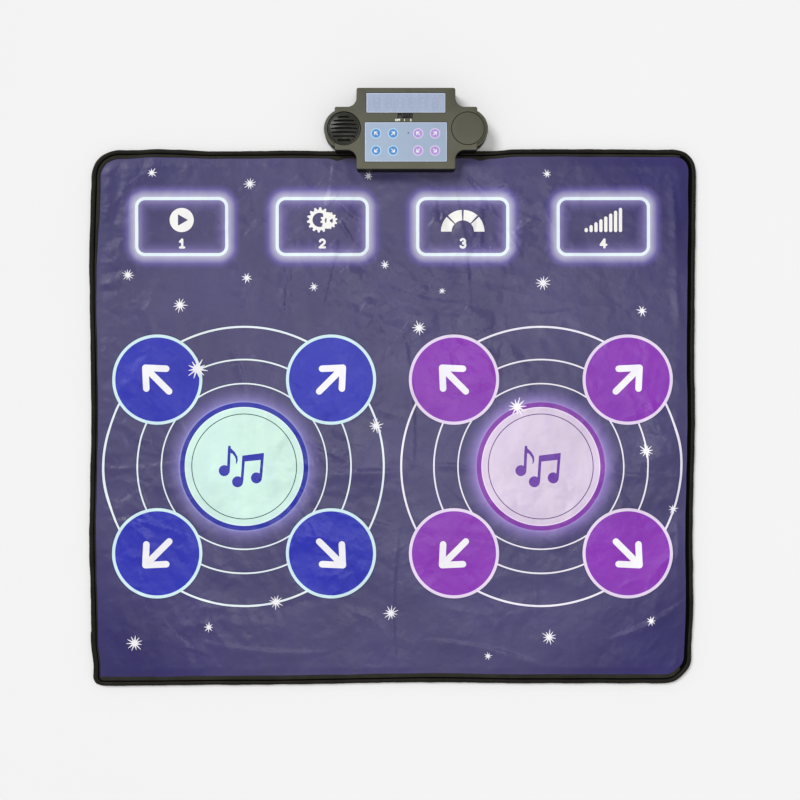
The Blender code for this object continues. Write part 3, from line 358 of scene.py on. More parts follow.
def print_round_zones(art):
    for name in ROUND_ZONES:
        left = name.startswith("left")
        centre = centre_of(name)
        radius = reach_of(name)[0]
        if name.endswith("centre"):
            art.lay("blue_ring" if left else "purple_ring", circle(centre, radius, CENTRE_ZONE_SIDES))
            art.lay("mint" if left else "lavender", circle(centre, CENTRE_DISC, CENTRE_ZONE_SIDES))
            rim = [circle(centre, CENTRE_DISC - share * RIM_HIGHLIGHT, CENTRE_ZONE_SIDES) for share in (0, 1)]
            art.lay("mint_rim" if left else "lavender_rim", *rim)
            half = CENTRE_LINE_WIDTH / 2
            line = [circle(centre, CENTRE_RIM_LINE + sign * half, CENTRE_ZONE_SIDES) for sign in (1, -1)]
            art.lay("teal_line" if left else "plum_line", *line)
            print_note_heads(art, "blue_note" if left else "purple_note", centre, PIXEL)
            continue
        art.lay("mint_ring" if left else "lilac_ring", circle(centre, radius, ZONE_SIDES))
        art.lay("blue_disc" if left else "purple_disc", circle(centre, SMALL_DISC, ZONE_SIDES))
        up = 1 if "upper" in name else -1
        along = 1 if name.endswith("right") else -1
        way = (along * math.sqrt(0.5), up * math.sqrt(0.5))
        print_arrow(art, "symbol_white", centre, way, 0.0500, 0.0098)


def print_key_frames(art):
    for name in MENU_ZONES:
        centre, reach = centre_of(name), reach_of(name)
        inner = (reach[0] - KEY_LINE, reach[1] - KEY_LINE)
        outer = rounded_box(centre, reach, KEY_CORNER)
        art.lay("frame_line", outer, rounded_box(centre, inner, KEY_CORNER - KEY_LINE))


def print_key_icons(art):
    cream = "icon_cream"
    start, mode, level, volume = (centre_of(name) for name in MENU_ZONES)

    disc = (start[0], start[1] + 0.0098)
    play = [(disc[0] + x, disc[1] + y) for x, y in ((-0.0056, 0.0086), (-0.0056, -0.0086), (0.0095, 0.0))]
    art.lay(cream, circle(disc, 0.0181, 56), play)

    big, small = (mode[0] - 0.0041, mode[1] + 0.0101), (mode[0] + 0.0099, mode[1] + 0.0092)
    art.lay(cream, gear(big, 0.0188, 14, 0.0034), circle(big, 0.0106, 40))
    art.lay(cream, gear(small, 0.0128, 12, 0.0024), circle(small, 0.0060, 32))

    foot = (level[0], level[1] - 0.0076)
    gap = 2.6
    for index in range(4):
        first = 180 - 45 * index - (gap if index > 0 else 0)
        last = 135 - 45 * index + (gap if index < 3 else 0)
        outer = arc(foot, 0.0326, first, last, 10)
        inner = arc(foot, 0.0166, last, first, 8)
        art.lay(cream, outer + inner)

    for index in range(8):
        x = volume[0] + (index - 3.5) * 0.0073
        low, high = volume[1] - 0.0060, volume[1] - 0.0045 + index * 0.0043
        art.lay(cream, capsule((x, low), (x, high), 0.0049))


def print_numerals(art):
    """Plain numerals under the icons of the four keys."""
    height, width, stroke = 0.0118, 0.0072, 0.0034
    for index, name in enumerate(MENU_ZONES):
        x, y = centre_of(name)
        y -= 0.0312

        def spot(across, up):
            return (x + across * width, y + up * height)

        if index == 0:
            lines = [[spot(-0.35, 0.72), spot(0.1, 1.0), spot(0.1, 0.0)], [spot(-0.35, 0.0), spot(0.5, 0.0)]]
        elif index == 1:
            bow = arc(spot(0.0, 0.70), width * 0.5, 165, -40, 8)
            lines = [bow + [spot(-0.5, 0.0), spot(0.55, 0.0)]]
        elif index == 2:
            upper = arc(spot(0.0, 0.74), width * 0.46, 150, -80, 8)
            lower = arc(spot(0.0, 0.27), width * 0.52, 80, -150, 8)
            lines = [upper + lower]
        else:
            lines = [[spot(0.22, 0.0), spot(0.22, 1.0), spot(-0.55, 0.32), spot(0.60, 0.32)]]
        for line in lines:
            art.stroke("icon_cream", line, stroke)


def print_stars(art):
    for index, (px, py, radius) in enumerate(STARS):
        rays = 8 if radius < 5.8 else 11
        art.lay("star_white", star(on_mat((px, py)), radius * PIXEL, rays, index))


def mat_print():
    art = Print()
    print_orbits(art)
    print_round_zones(art)
    print_key_frames(art)
    print_key_icons(art)
    print_numerals(art)
    print_stars(art)
    return art


# How the skin lies: heights over the mat, all worked out from the same function
def smooth_step(low, high, value):
    share = np.clip((value - low) / (high - low), 0.0, 1.0)
    return share * share * (3 - 2 * share)


def smooth_noise(x, y, cell, seed):
    """Gradient noise, about -1 to 1, with the given size of cell."""
    side = 64
    angles = np.random.default_rng(seed).uniform(0, math.tau, (side, side))
    u, v = x / cell + side / 2, y / cell + side / 2
    column, row = np.floor(u).astype(int), np.floor(v).astype(int)
    du, dv = u - column, v - row

    def corner(step_u, step_v):
        angle = angles[(column + step_u) % side, (row + step_v) % side]
        return np.cos(angle) * (du - step_u) + np.sin(angle) * (dv - step_v)

    ease_u, ease_v = du**3 * (6 * du * du - 15 * du + 10), dv**3 * (6 * dv * dv - 15 * dv + 10)
    near = corner(0, 0) * (1 - ease_u) + corner(1, 0) * ease_u
    far = corner(0, 1) * (1 - ease_u) + corner(1, 1) * ease_u
    return (near * (1 - ease_v) + far * ease_v) * 1.5


def rim_distance(x, y):
    """Distance in from the outer edge of the mat, less than zero outside it."""
    upper_right, upper_left, lower_left, lower_right = MAT_CORNERS
    upper = np.where(x > 0, upper_right, upper_left)
    radius = np.where(y > 0, upper, np.where(x > 0, lower_right, lower_left))
    over_x = np.abs(x) - (half_x - radius)
    over_y = np.abs(y) - (half_y - radius)
    outside = np.hypot(np.maximum(over_x, 0), np.maximum(over_y, 0))
    return radius - outside - np.minimum(np.maximum(over_x, over_y), 0)


def side_line(pixels, upright):
    """A side of the mat as it lies: places along it, and how far across each is."""
    marks = [on_mat((across, along) if upright else (along, across)) for along, across in pixels]
    return np.array(sorted((y, x) if upright else (x, y) for x, y in marks)).T


left_line, right_line = side_line(LEFT_EDGE, True), side_line(RIGHT_EDGE, True)
top_line, bottom_line = side_line(TOP_EDGE, False), side_line(BOTTOM_EDGE, False)


def follow(line, at):
    """How far across a side is at places along it, eased from one mark to the next."""
    along, across = line
    index = np.clip(np.searchsorted(along, at) - 1, 0, len(along) - 2)
    share = smooth_step(0.0, 1.0, (at - along[index]) / (along[index + 1] - along[index]))
    return across[index] * (1 - share) + across[index + 1] * share


def as_laid(places):
    """Places near the rim moved to where the mat's edge really lies; the edge in the unit stays in plan."""
    x, y = places[:, 0], places[:, 1]
    near, far = EDGE_MOVES
    free = smooth_step(0.124, 0.165, np.abs(x - unit_x))
    move_x = smooth_step(far, near, half_x + x) * (follow(left_line, y) + half_x)
    move_x += smooth_step(far, near, half_x - x) * (follow(right_line, y) - half_x)
    move_y = smooth_step(far, near, half_y - y) * free * (follow(top_line, x) - half_y)
    move_y += smooth_step(far, near, half_y + y) * (follow(bottom_line, x) + half_y)
    return places + np.column_stack((move_x, move_y))


def crease_list():
    """Creases as curved lines: those of the photograph, then loose ones all over the skin."""
    lines = []
    for first, second, bend, width, rise in CREASES:
        lines.append((on_mat(first), on_mat(second), bend * PIXEL, width, rise))
    draw = np.random.default_rng(CREASE_SEED)
    for _ in range(LOOSE_CREASES):
        x, y = draw.uniform(-half_x, half_x), draw.uniform(-half_y, half_y)
        length, way = draw.uniform(0.03, 0.15), draw.uniform(0, math.pi)
        end = (x + length * math.cos(way), y + length * math.sin(way))
        rise = draw.uniform(0.0003, 0.0008) * draw.choice((-0.6, 1.0)) * min(crushed(x, y), 1.2)
        lines.append(((x, y), end, draw.uniform(-0.12, 0.12) * length, draw.uniform(0.0026, 0.0060), rise))
    return lines


def add_crease(rise, x, y, line):
    """Raise the skin along one crease, steep on one side and easy on the other."""
    (ax, ay), (bx, by), bend, width, height = line
    along = np.array((bx - ax, by - ay))
    length = float(np.hypot(*along))
    along /= length
    reach = width * 4 + abs(bend)
    u = (x - ax) * along[0] + (y - ay) * along[1]
    v = (y - ay) * along[0] - (x - ax) * along[1]
    near = np.nonzero((u > 0) & (u < length) & (np.abs(v) < reach))[0]
    share = u[near] / length
    offset = v[near] - 4 * bend * share * (1 - share)
    steep = np.where(offset > 0, width * 0.55, width * 1.7)
    taper = np.sin(np.pi * share) ** 0.8
    rise[near] += CREASE_RISE * height * taper * np.exp(-((offset / steep) ** 2))


def facets(x, y, cell, seed):
    """Height of a crushed sheet, about -1 to 1: flat triangles that meet in sharp folds."""
    side = 64
    heights = np.random.default_rng(seed).uniform(-1, 1, (side, side))
    u = x / cell + 0.55 * smooth_noise(x, y, cell * 1.8, seed + 1) + side / 2
    v = y / cell + 0.55 * smooth_noise(x, y, cell * 1.8, seed + 2) + side / 2
    skew = (u + v) * (math.sqrt(3) - 1) / 2
    u, v = u + skew, v + skew
    column, row = np.floor(u).astype(int), np.floor(v).astype(int)
    du, dv = u - column, v - row
    first, last = heights[column % side, row % side], heights[(column + 1) % side, (row + 1) % side]
    right = du > dv
    next_column, next_row = (column + 1) % side, (row + 1) % side
    middle = np.where(right, heights[next_column, row % side], heights[column % side, next_row])
    long, short = np.maximum(du, dv), np.minimum(du, dv)
    return first + (middle - first) * long + (last - middle) * short


def crushed(x, y):
    """How strongly the skin is crushed: everywhere a little, more in the patches of the photograph."""
    strength = 0.45 + 0.35 * smooth_noise(x, y, 0.170, 31)
    for px, py, radius, more in CRUSHED_PATCHES:
        patch_x, patch_y = on_mat((px, py))
        apart = (x - patch_x) ** 2 + (y - patch_y) ** 2
        strength = strength + more * np.exp(-apart / (radius * PIXEL) ** 2)
    return np.clip(strength, 0.12, 2.2)


creases = crease_list()


def added_width(x, y):
    """How much wider the binding is laid on near a place."""
    width = 0 * x
    for pixel, reach, more in WIDE_PLACES:
        wide_x, wide_y = on_mat(pixel)
        width = width + more * np.exp(-((x - wide_x) ** 2 + (y - wide_y) ** 2) / reach**2)
    return width


def binding_width_near(x, y):
    """Width of the binding on the side that a place is nearest to."""
    level_side = smooth_step(-0.02, 0.02, (half_x - np.abs(x)) - (half_y - np.abs(y)))
    upright = np.where(x < 0, BINDING_WIDTHS["left"], BINDING_WIDTHS["right"])
    level = np.where(y < 0, BINDING_WIDTHS["bottom"], BINDING_WIDTHS["top"])
    return upright * (1 - level_side) + level * level_side + added_width(x, y)


# Folds of the crushed skin, coarse to fine: height, size of the facets and seed
FOLDS = ((0.0018, 0.052, 21), (0.0011, 0.023, 24), (0.00034, 0.010, 27))


def drape(x, y):
    """Height of the skin above its flat level."""
    inward = rim_distance(x, y)
    rise = 0.0010 * smooth_noise(x, y, 0.190, 11) + 0.0006 * smooth_noise(x, y, 0.085, 12)
    folds = sum(height * facets(x, y, cell, seed) for height, cell, seed in FOLDS)
    rise += folds * crushed(x, y)
    for line in creases:
        add_crease(rise, x, y, line)
    rim = 1 - smooth_step(0.014, 0.052, inward)
    level_pucker = smooth_noise(x, y * 0.22, 0.015, 41)
    upright_pucker = smooth_noise(x * 0.22, y, 0.015, 42)
    sides = smooth_step(-0.01, 0.01, (np.abs(x) - half_x) - (np.abs(y) - half_y))
    gathered = smooth_step(0.0, 0.5, smooth_noise(x, y, 0.120, 43))
    rise += 0.0003 * rim * gathered * (level_pucker * (1 - sides) + upright_pucker * sides)
    rise = np.log1p(np.exp((rise + 0.0012) / 0.0004)) * 0.0004
    over_unit = np.hypot(np.maximum(np.abs(x - unit_x) - 0.073, 0), np.maximum(front_box[0].y - y, 0))
    past_binding = inward - binding_width_near(x, y)
    return rise * smooth_step(-0.001, 0.014, past_binding) * smooth_step(0.0, 0.020, over_unit)


def drape_normals(x, y):
    step = 0.0004
    slope_x = (drape(x + step, y) - drape(x - step, y)) / (2 * step)
    slope_y = (drape(x, y + step) - drape(x, y - step)) / (2 * step)
    normals = np.column_stack((-slope_x, -slope_y, np.ones(len(x))))
    return normals / np.linalg.norm(normals, axis=1)[:, None]


# Meshes of flat or draped pieces, from a net of triangles that keeps the edges of the print
def net_over(loops, points=()):
    """Places and triangles of a net that keeps every edge of the loops."""
    places, edges = [], []
    for loop in loops:
        start = len(places)
        places += [Vector(point) for point in loop]
        edges += [(start + index, start + (index + 1) % len(loop)) for index in range(len(loop))]
    places += [Vector(point) for point in points]
    made = geometry.delaunay_2d_cdt(places, edges, [], 0, 1e-7, False)
    return np.array([tuple(place) for place in made[0]]), np.array(made[2])


def loose_points(low, high, step, loops, seed):
    """A triangular net's points with a little jitter, none of them close to a loop."""
    draw = np.random.default_rng(seed)
    row_step = step * math.sqrt(0.75)
    rows = np.arange(low[1], high[1], row_step)
    columns = np.arange(low[0], high[0], step)
    x, y = np.meshgrid(columns, rows)
    x = x + np.where(np.arange(len(rows)) % 2, step / 2, 0.0)[:, None]
    points = np.column_stack((x.ravel(), y.ravel()))
    points += draw.uniform(-NET_JITTER, NET_JITTER, points.shape) * step
    cell = step * 0.42
    edges = np.array([point for loop in loops for point in even_steps(loop, cell)])
    taken = set(map(tuple, np.round(edges / cell).astype(int)))
    keep = [tuple(key) not in taken for key in np.round(points / cell).astype(int)]
    return points[np.array(keep)]


def rim_edges(triangles, count):
    """Directed edges that belong to one triangle only."""
    edges = np.concatenate([triangles[:, [0, 1]], triangles[:, [1, 2]], triangles[:, [2, 0]]])
    code, back = edges[:, 0] * count + edges[:, 1], edges[:, 1] * count + edges[:, 0]
    return edges[~np.isin(code, back)]


def slab(name, places, triangles, heights, low, inks, looks, normals=None):
    """A closed piece: the top net at its heights, walls round its rims, and a flat underside."""
    used, triangles = np.unique(triangles, return_inverse=True)
    triangles = triangles.reshape(-1, 3)
    places, heights = places[used], heights[used]
    count = len(places)
    rims = rim_edges(triangles, count)
    rim_verts, rims_low = np.unique(rims, return_inverse=True)
    rims_low = rims_low.reshape(-1, 2)
    under = geometry.delaunay_2d_cdt(
        [Vector(place) for place in places[rim_verts]], rims_low.tolist(), [], 0, 1e-7, True
    )
    source = np.array([origin[0] for origin in under[3]])
    bottoms = source[np.array(under[2])]
    kept = enclosed(places[rim_verts][bottoms].mean(axis=1), places[rims[:, 0]], places[rims[:, 1]])
    bottoms = bottoms[kept][:, ::-1] + count
    walls = np.column_stack((rims[:, 0], rims_low[:, 0] + count, rims_low[:, 1] + count, rims[:, 1]))
    verts = np.vstack((
        np.column_stack((places, heights)),
        np.column_stack((places[rim_verts], np.full(len(rim_verts), low))),
    ))
    mesh = bpy.data.meshes.new(name)
    mesh.from_pydata(verts.tolist(), [], triangles.tolist() + walls.tolist() + bottoms.tolist())
    names = sorted(set(inks))
    for ink in names:
        mesh.materials.append(looks[ink])
    index_of = {ink: index for index, ink in enumerate(names)}
    edge_ink = index_of[names[0]] if "field" not in index_of else index_of["field"]
    slots = [index_of[ink] for ink in inks] + [edge_ink] * (len(walls) + len(bottoms))
    mesh.polygons.foreach_set("material_index", slots)
    mesh.shade_smooth()
    flat = np.zeros(len(mesh.polygons), bool)
    flat[len(triangles):] = True
    mesh.polygons.foreach_set("use_smooth", ~flat)
    if normals is not None:
        set_normals(mesh, normals[used], len(triangles))
    return link(bpy.data.objects.new(name, mesh))


def set_normals(mesh, normals, tops):
    """Give the top triangles the skin's own normals, so that neighbouring pieces shade as one skin."""
    mesh.update()
    corners = np.empty(len(mesh.loops), int)
    mesh.loops.foreach_get("vertex_index", corners)
    flat = np.empty(len(mesh.loops) * 3)
    mesh.corner_normals.foreach_get("vector", flat)
    flat = flat.reshape(-1, 3)
    flat[: tops * 3] = normals[corners[: tops * 3]]
    mesh.normals_split_custom_set(flat.tolist())


def clamp_holes():
    """Loops where the clamp's four posts pass through a layer of the mat."""
    radius = 0.0035
    return [circle(centre_of(f"clamp_screw_{index}"), radius, 16) for index in range(1, 5)]


def cover_holes():
    """Loops cut out of the skin where the clamp's posts and the film tail pass."""
    return clamp_holes() + [rounded_box(centre_of("ribbon_tail"), (0.0066, 0.0038), 0.0004, 2)]


def make_skin(looks):
    """The printed skin as one draped net, cut into the field and the patch of each pressure zone."""
    art = mat_print()
    outline = even_steps(mat_loop(COVER_INSET), 0.006)
    zones = {}
    for name in ROUND_ZONES:
        sides = CENTRE_ZONE_SIDES if name.endswith("centre") else ZONE_SIDES
        zones[name] = circle(centre_of(name), reach_of(name)[0], sides)
    for name in MENU_ZONES:
        zones[name] = even_steps(rounded_box(centre_of(name), reach_of(name), KEY_CORNER), 0.004)
    holes = cover_holes()
    shapes = [even_steps(loop, 0.004) for loop in art.loops()]
    loops = [outline] + list(zones.values()) + holes + shapes
    points = loose_points((-half_x, -half_y), (half_x, half_y), SKIN_NET, loops, 5)
    places, triangles = net_over(loops, points[rim_distance(*points.T) > COVER_INSET + 0.001])
    middles = places[triangles].mean(axis=1)
    keep = inside(middles, np.array(outline))
    for loop in holes:
        keep &= ~inside(middles, np.array(loop))
    triangles, middles = triangles[keep], middles[keep]
    heights = skin_top + drape(*places.T)
    normals = drape_normals(*places.T)
    inks = art.inks_at(middles, "field")
    places = as_laid(places)
    free = np.ones(len(triangles), bool)
    for name, loop in zones.items():
        part = free & inside(middles, np.array(loop))
        free &= ~part
        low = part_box(name)[0].z + 0.00125
        patch = slab(name + "_skin", places, triangles[part], heights, low, inks[part], looks, normals)
        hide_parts(name)
        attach(patch, name)
    cover = slab("cover_skin", places, triangles[free], heights, skin_low, inks[free], looks, normals)
    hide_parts("top_cover")
    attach(cover, "mat_and_unit")
    flat_area = (2 * half_x) * (2 * half_y) - zone_area()


def zone_area():
    rounds = sum(math.pi * reach_of(name)[0] ** 2 for name in ROUND_ZONES)
    keys = sum(4 * reach_of(name)[0] * reach_of(name)[1] for name in MENU_ZONES)
    return rounds + keys


# Solid pieces made ring by ring
def link(obj):
    bpy.context.scene.collection.objects.link(obj)
    return obj


def piece_from(work, name, look, smooth=40):
    """A mesh object from a worked mesh, merged, facing outwards and smooth but for its sharp edges."""
    bmesh.ops.remove_doubles(work, verts=work.verts, dist=1e-6)
    bmesh.ops.dissolve_degenerate(work, dist=1e-6, edges=work.edges)
    bmesh.ops.recalc_face_normals(work, faces=work.faces)
    mesh = bpy.data.meshes.new(name)
    work.to_mesh(mesh)
    work.free()
    mesh.shade_smooth()
    mesh.set_sharp_from_angle(angle=math.radians(smooth))
    if look is not None:
        mesh.materials.append(look)
    return link(bpy.data.objects.new(name, mesh))


def loft(name, rings, look=None):
    """A solid through rings of equal count, each a list of points and its level, from the lowest up."""
    work = bmesh.new()
    made = [[work.verts.new((x, y, level)) for x, y in ring] for ring, level in rings]
    for below, above in zip(made, made[1:]):
        for index in range(len(below)):
            work.faces.new((below[index - 1], below[index], above[index], above[index - 1]))
    caps = [work.faces.new(made[0]), work.faces.new(made[-1])]
    bmesh.ops.triangulate(work, faces=caps, ngon_method="BEAUTY")
    return piece_from(work, name, look)


def turned(name, profile, sides, centre, look=None, axis="Z"):
    """A turned solid: the profile lists (radius, height) from the top of its axis round to the bottom."""
    work = bmesh.new()
    rings = []
    for radius, height in profile:
        if radius < 1e-7:
            rings.append([work.verts.new((0.0, 0.0, height))])
        else:
            rings.append([work.verts.new((x, y, height)) for x, y in circle((0.0, 0.0), radius, sides)])
    for first, second in zip(rings, rings[1:]):
        for index in range(sides):
            upper = [first[index - 1], first[index]] if len(first) > 1 else first
            lower = [second[index], second[index - 1]] if len(second) > 1 else second
            work.faces.new(upper + lower)
    tilts = {"X": 90, "-X": -90, "Z": 0}
    turn = Matrix.Rotation(math.radians(tilts[axis]), 3, "Y")
    bmesh.ops.rotate(work, matrix=turn, verts=work.verts)
    bmesh.ops.translate(work, vec=centre, verts=work.verts)
    return piece_from(work, name, look)


def prism(name, outline, low, high, look=None):
    """A solid of one outline between two levels."""
    return loft(name, [(outline, low), (outline, high)], look)


def cut(target, tool, operation="DIFFERENCE"):
    """Cut or join two closed solids and keep the result as the target's own mesh."""
    modifier = target.modifiers.new("cut", "BOOLEAN")
    modifier.operation = operation
    modifier.solver = "MANIFOLD"
    modifier.object = tool
    keep_result(target)
    mesh = tool.data
    bpy.data.objects.remove(tool, do_unlink=True)
    bpy.data.meshes.remove(mesh)


def keep_result(obj):
    """Put the evaluated mesh in the object's place and drop its modifiers."""
    bpy.context.view_layer.update()
    evaluated = obj.evaluated_get(bpy.context.evaluated_depsgraph_get())
    mesh = bpy.data.meshes.new_from_object(evaluated)
    obj.modifiers.clear()
    obj.data = mesh


def crisp(obj, smooth=35):
    """Merge what cutting left, drop its empty material slots and shade smooth but for sharp edges."""
    look = obj.data.materials[0]
    obj.data.materials.clear()
    obj.data.materials.append(look)
    work = bmesh.new()
    work.from_mesh(obj.data)
    bmesh.ops.remove_doubles(work, verts=work.verts, dist=2e-6)
    bmesh.ops.dissolve_limit(work, angle_limit=math.radians(0.1), verts=work.verts, edges=work.edges)
    bmesh.ops.triangulate(work, faces=[face for face in work.faces if len(face.verts) > 4])
    work.to_mesh(obj.data)
    work.free()
    obj.data.shade_smooth()
    obj.data.set_sharp_from_angle(angle=math.radians(smooth))


def stand_for(obj, *nodes, body="mat_and_unit", slot=None):
    """Let a piece stand for its nodes, on their body; the slot it is given is not used."""
    if nodes:
        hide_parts(*nodes)
    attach(obj, body)
    return obj


# The sewn binding round the rim, in section. Walls are (millimetres in from the edge, level in millimetres),
# the roll and the band inside it are (share of their own width, level), and so is what lies under the band.
OUTER_WALL = ((2.00, 0.02), (0.75, 0.50), (0.12, 1.70), (-0.22, 3.60), (0.02, 5.40), (0.60, 6.70))
ROLL = ((0.12, 7.55), (0.28, 8.25), (0.46, 8.50), (0.64, 8.15), (0.82, 7.40), (1.00, 6.92))
BAND = ((0.12, 7.04), (0.34, 7.44), (0.64, 7.58), (0.88, 7.40), (1.00, 6.94))
UNDER_BAND = ((0.96, 6.80), (0.10, 6.78))
INNER_WALL = ((1.70, 6.74), (1.05, 6.00), (1.05, 1.20), (1.60, 0.66))
UNDERSIDE = ((0.94, 0.66), (0.98, 0.10), (0.50, 0.02))
RIM_STEP = 0.0020

# How far in from the right edge of the mat the band lies in shade
SHADED_REACH = 0.0200


def rim_path():
    """Points along the mat's outer edge with the way inwards at each, as arrays."""
    points = np.array(even_steps(mat_loop(0.0, 24), RIM_STEP))
    ahead = np.roll(points, -1, axis=0) - np.roll(points, 1, axis=0)
    ahead /= np.linalg.norm(ahead, axis=1)[:, None]
    return points, np.column_stack((-ahead[:, 1], ahead[:, 0]))


def by_side(inward, sizes):
    """A size that differs from side to side, at each point of the rim."""
    level = inward[:, 0] ** 2 * np.where(inward[:, 0] > 0, sizes["left"], sizes["right"])
    return level + inward[:, 1] ** 2 * np.where(inward[:, 1] > 0, sizes["bottom"], sizes["top"])


def binding_rows(x, y, inward):
    """Distance in from the edge and level of each row of the binding's section, all along the rim."""
    free = 1 - smooth_step(0.150, 0.118, np.abs(x - unit_x)) * (y > 0)
    width = by_side(inward, BINDING_WIDTHS) + added_width(x, y) + 0.0007 * smooth_noise(x, y, 0.045, 57)
    roll = by_side(inward, ROLL_WIDTHS) + 0.0004 * smooth_noise(x, y, 0.070, 58)
    plump = free * (0.00060 * smooth_noise(x, y, 0.036, 53) + 0.00022 * smooth_noise(x, y, 0.012, 54))
    pleat = free * (0.00013 * smooth_noise(x, y, 0.0085, 55) + 0.00008 * smooth_noise(x, y, 0.0045, 56))
    end_x, end_y = on_mat(TAPE_END_PIXEL)
    lapped = (x < end_x + 0.01) * smooth_step(end_y + 0.0012, end_y - 0.0012, y)
    rows = [(across / 1000 + 0 * x, level / 1000 + 0 * x) for across, level in OUTER_WALL]
    rows = [(u - (plump + pleat + 0.0009 * lapped) * (z > 0.0004), z) for u, z in rows]
    for share, level in ROLL:
        swell = math.sin(math.pi * share)
        z = level / 1000 + (1.5 * plump + 0.0004 * lapped) * swell + pleat
        rows.append((0.0006 + (roll - 0.0006) * share, z))
    for share, level in BAND:
        swell = math.sin(math.pi * share)
        rows.append((roll + (width - roll) * share, level / 1000 + (pleat + 0.4 * plump) * swell))
    rows = [(u, z * free + np.minimum(z, mat_top) * (1 - free)) for u, z in rows]
    rows += [(roll + (width - roll) * share, level / 1000 + 0 * x) for share, level in UNDER_BAND]
    rows += [(across / 1000 + 0 * x, level / 1000 + 0 * x) for across, level in INNER_WALL]
    rows += [(width * share, level / 1000 + 0 * x) for share, level in UNDERSIDE]
    return rows


def make_binding(look, band_look, groove_shade_look, thread):
    """The binding's tape: a plump roll, a duller band inside it, and the sewn groove between them, painted
    near-black as painted shade.

    On the right side the band lies in the roll's shade and takes the groove's painted shade too.
    """
    points, inward = rim_path()
    x, y = points.T
    moved = as_laid(points) - points
    verts, count = [], len(points)
    for u, z in binding_rows(x, y, inward):
        verts.append(np.column_stack((points + inward * u[:, None] + moved, z)))
    rows = len(verts)
    grid = np.arange(rows * count).reshape(rows, count)
    below, above = np.roll(grid, -1, axis=0), grid
    corners = (above, np.roll(above, -1, axis=1), np.roll(below, -1, axis=1), below)
    quads = np.stack(corners, axis=-1).reshape(-1, 4)
    mesh = bpy.data.meshes.new("edge_binding_tape")
    mesh.from_pydata(np.vstack(verts).tolist(), [], quads.tolist())
    work = bmesh.new()
    work.from_mesh(mesh)
    binding = piece_from(work, "edge_binding_tape", look, 60)
    binding.data.materials.append(band_look)
    binding.data.materials.append(groove_shade_look)
    first_band = len(OUTER_WALL) + len(ROLL)
    for face in binding.data.polygons:
        row = min(face.vertices) // count
        on_band = first_band <= row < first_band + len(BAND) - 1
        # Painted shade: the groove's rows, and the band near the right edge, take the near-black groove look.
        if first_band - 2 <= row < first_band or (on_band and face.center.x > half_x - SHADED_REACH):
            face.material_index = 2
        elif on_band:
            face.material_index = 1
    stand_for(binding, "edge_binding", slot="binding_tape")
    seam = verts[first_band]
    make_stitches(seam + np.array((0, 0, 0.00010)), thread)


def nodes_modifier(name, obj, tree, **values):
    """Run a node tree on an object, its inputs set by their names' identifiers, and keep the mesh."""
    modifier = obj.modifiers.new(name, "NODES")
    modifier.node_group = tree
    for item in tree.interface.items_tree:
        if item.in_out == "INPUT" and item.name in values:
            modifier[item.identifier] = values[item.name]
    keep_result(obj)
    if obj.data.materials[0] is None:
        obj.data.materials.pop(index=0)
    return obj


def new_tree(name, sizes, material):
    """A geometry tree with a geometry input, number inputs and a material input."""
    tree = bpy.data.node_groups.new(name, "GeometryNodeTree")
    tree.interface.new_socket("Geometry", in_out="INPUT", socket_type="NodeSocketGeometry")
    for size, value in sizes.items():
        tree.interface.new_socket(size, in_out="INPUT", socket_type="NodeSocketFloat").default_value = value
    finish = tree.interface.new_socket("Finish", in_out="INPUT", socket_type="NodeSocketMaterial")
    finish.default_value = material
    tree.interface.new_socket("Geometry", in_out="OUTPUT", socket_type="NodeSocketGeometry")
    return tree, tree.nodes.new("NodeGroupInput"), tree.nodes.new("NodeGroupOutput")


def finish_tree(tree, given, result, instances, smooth=True):
    """Realise the copies, shade them and give them their finish."""
    real = tree.nodes.new("GeometryNodeRealizeInstances")
    shade = tree.nodes.new("GeometryNodeSetShadeSmooth")
    shade.inputs["Shade Smooth"].default_value = smooth
    paint = tree.nodes.new("GeometryNodeSetMaterial")
    tree.links.new(instances, real.inputs[0])
    tree.links.new(real.outputs[0], shade.inputs[0])
    tree.links.new(shade.outputs[0], paint.inputs["Geometry"])
    tree.links.new(given.outputs["Finish"], paint.inputs["Material"])
    tree.links.new(paint.outputs[0], result.inputs[0])


